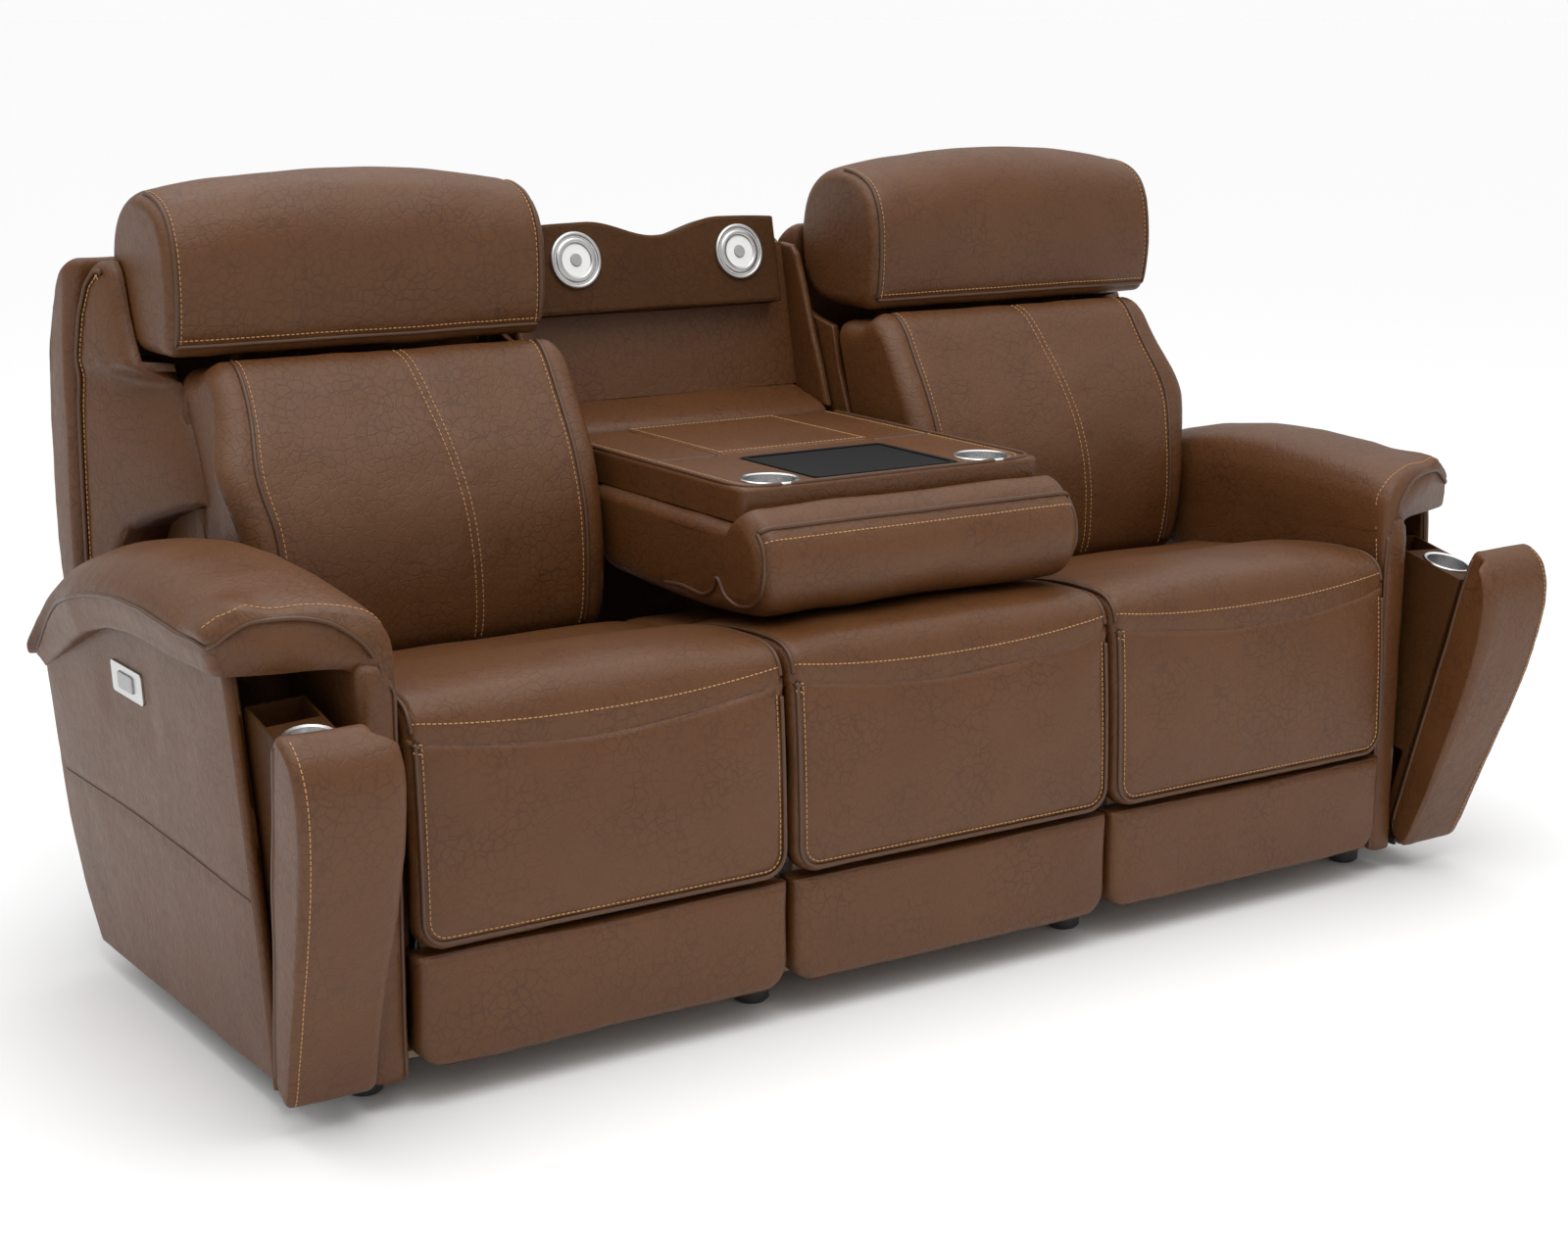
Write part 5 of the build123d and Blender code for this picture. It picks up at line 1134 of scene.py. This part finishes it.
def inset_height(edge, face):
    """Low padded panel with a soft edge."""
    if face == 1:
        return np.full(len(edge), -1.0)
    return 3.4 * (1 - np.exp(-edge / 5.0))


def inset_place(ring, height):
    """Places the inset panel on the table top."""
    return np.column_stack([ring, np.full(len(ring), TABLE_TOP + 0.2) + height])


INSET_OUTLINE = even([
    (-INSET_HALF, INSET_FRONT), (INSET_HALF, INSET_FRONT),
    (INSET_HALF, INSET_REAR), (-INSET_HALF, INSET_REAR),
], 220)
grid = worked(panel_grid(INSET_OUTLINE, inset_height, inset_place), [], 0.6, 87)
cover("table_inset_panel", grid, "table", [])
edge_welt = through([(x, y, TABLE_TOP - 3.0) for x, y in TABLE_EDGE], 240)
edge_stitch = through([(x * 0.955, y + 9.0, TABLE_TOP) for x, y in TABLE_EDGE], 240)
inset_stitch = inset_place(outline_line(INSET_OUTLINE, 0.0, 1.0, 7.0), 3.0)
CROSS_Y = 426.0
cross_lines = [through([(side * 258.0, CROSS_Y, TABLE_TOP), (side * 146.0, CROSS_Y, TABLE_TOP)], 30)
               for side in (-1, 1)]
cords = [snapped(edge_welt, [TABLE_PIECE], 0.4)]
cords += [snapped(line, [TABLE_PIECE], -1.2) for line in cross_lines]
trim("table_top", "table", cords, [snapped(edge_stitch, [TABLE_PIECE], 0.3), inset_stitch])


# Ledge, cheeks and light panel behind the table

LEDGE_LOOP = smooth_loop([
    (727, 646), (727, 690), (727, 724), (734, 738), (758, 749), (796, 759), (828, 767), (848, 767),
    (849, 700), (848, 646), (790, 642),
])
grid = loft_grid(LEDGE_LOOP, -269.0, 269.0, 8.0)
grid = worked(grid, [], 1.6, 91)
cover("centre_ledge_cover", grid, "frame", ["centre_ledge"])

CHEEK_X = 270.5
CHEEK_OUTLINE = even([
    (737, 738), (760, 800), (788, 868), (814, 936), (836, 988), (852, 1002), (880, 1004), (894, 1003),
    (895, 900), (895, 738),
], 200)
for name, side in SIDES.items():
    grid = panel_grid(CHEEK_OUTLINE, wall_height(0.0, 6.5, 13.5), flat_place(side * CHEEK_X, -side))
    cover(f"{name}_cheek_cover", grid, "frame", ["centre_cheeks"])


def light_outline():
    """Light panel's outline: two raised ends and a dip between them."""
    points = [(-LIGHT_HALF, 0.0), (LIGHT_HALF, 0.0)]
    for share in np.linspace(1, -1, 61):
        dip = math.cos(share * math.pi / (2 * DIP_SHARE)) ** 2 if abs(share) < DIP_SHARE else 0.0
        points.append((share * LIGHT_HALF, LIGHT_HIGH - LIGHT_DIP * dip - LIGHT_DROOP * share**4))
    return even(points, 240)


def light_place(ring, height):
    """Places the light panel's points on its leaning front."""
    lean = math.atan(BOARD_LEAN)
    foot_y = BOARD_FOOT_Y + (LIGHT_FOOT - LEDGE_TOP) * BOARD_LEAN - LIGHT_DEPTH / math.cos(lean)
    y = foot_y + ring[:, 1] * math.sin(lean) - height * math.cos(lean)
    z = LIGHT_FOOT + ring[:, 1] * math.cos(lean) + height * math.sin(lean)
    return np.column_stack([ring[:, 0], y, z])


grid = panel_grid(light_outline(), pad_height(0.0, 7.0, 39.0), light_place)
grid = worked(grid, [], 0.8, 97)
# The light panel is the same leather as the rest; the darker leather here paints the shade that falls on it
cover("light_panel_cover", grid, "frame", ["light_panel"], painted_shade=True)


# Dished rings of the reading lights

RING_PROFILE = [
    (26.0, -1.0), (26.4, 1.4), (28.5, 2.8), (32.0, 3.0), (35.4, 2.2), (37.6, 0.2), (37.6, -1.0), (26.0, -1.0),
]
RING_SIDES = 72


def light_ring(name, side):
    """Metal ring round the lens of a reading light."""
    lean = math.atan(BOARD_LEAN)
    axis = np.array((0.0, -math.cos(lean), math.sin(lean)))
    across = np.array((1.0, 0.0, 0.0))
    up = np.cross(axis, across)
    lens = node_points("light_lenses", side)
    centre = (lens.min(axis=0) + lens.max(axis=0)) / 2
    front = np.max((lens - centre) @ axis)
    vertices = []
    for radius, rise in RING_PROFILE:
        for angle in np.linspace(0, 2 * math.pi, RING_SIDES, endpoint=False):
            around = math.cos(angle) * across + math.sin(angle) * up
            vertices.append(centre + axis * (front + rise) + radius * around)
    piece = new_mesh(f"{name}_light_ring", to_metres(vertices), quads(len(RING_PROFILE), RING_SIDES))
    finish_piece(piece, "frame", BRUSHED)


for name, side in SIDES.items():
    light_ring(name, side)


# Camera, light and floor


def photo_camera():
    """Camera at the place fitted to the photo."""
    yaw = math.radians(CAMERA_YAW)
    pitch = math.radians(CAMERA_PITCH)
    roll = math.radians(CAMERA_ROLL)
    ahead = Vector((math.sin(yaw) * math.cos(pitch), math.cos(yaw) * math.cos(pitch), -math.sin(pitch)))
    right = Vector((math.cos(yaw), -math.sin(yaw), 0.0))
    up = right.cross(ahead)
    turned_right = math.cos(roll) * right + math.sin(roll) * up
    turned_up = -math.sin(roll) * right + math.cos(roll) * up
    data = bpy.data.cameras.new("camera")
    data.sensor_width = 36.0
    data.lens = CAMERA_FOCAL_PIXELS * data.sensor_width / IMAGE_WIDTH
    data.shift_y = (CAMERA_MIDDLE_ROW - IMAGE_HEIGHT / 2) / IMAGE_WIDTH
    camera = bpy.data.objects.new("camera", data)
    bpy.context.scene.collection.objects.link(camera)
    turn = Matrix((turned_right, turned_up, -ahead)).transposed().to_4x4()
    turn.translation = Vector(to_metres(CAMERA_PLACE))
    camera.matrix_world = turn
    bpy.context.scene.camera = camera


def area_light(name, place, target, size, power):
    """Large soft light that looks at a target, in metres."""
    data = bpy.data.lights.new(name, "AREA")
    data.shape = "RECTANGLE"
    data.size = size[0]
    data.size_y = size[1]
    data.energy = power
    light = bpy.data.objects.new(name, data)
    bpy.context.scene.collection.objects.link(light)
    light.location = place
    light.rotation_mode = "QUATERNION"
    light.rotation_quaternion = (Vector(target) - Vector(place)).to_track_quat("-Z", "Y")


def floor():
    """Plain pale floor."""
    size = FLOOR_HALF
    corners = [(-size, -size, 0), (size, -size, 0), (size, size, 0), (-size, size, 0)]
    piece = new_mesh("floor", corners, [(0, 1, 2, 3)])
    piece.data.materials.append(plain("floor", (0.94, 0.94, 0.94), 0.85))
    piece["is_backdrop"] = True


def studio_sky():
    """Sky that is bright overhead, darker low down and pale at the horizon."""
    world = bpy.data.worlds.new("studio")
    world.use_nodes = True
    tree = world.node_tree
    direction = tree.nodes.new("ShaderNodeTexCoord")
    parts = tree.nodes.new("ShaderNodeSeparateXYZ")
    tree.links.new(direction.outputs["Generated"], parts.inputs["Vector"])
    shades = [(height, (level, level, level)) for height, level in SKY_LEVELS]
    background = tree.nodes["Background"]
    tree.links.new(ramp_node(tree, parts.outputs["Z"], shades), background.inputs["Color"])
    background.inputs["Strength"].default_value = SKY_STRENGTH
    bpy.context.scene.world = world


photo_camera()
floor()
studio_sky()
area_light("key", **KEY_LIGHT)
area_light("top", **TOP_LIGHT)
bpy.context.scene.view_settings.view_transform = "Standard"

low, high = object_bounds()
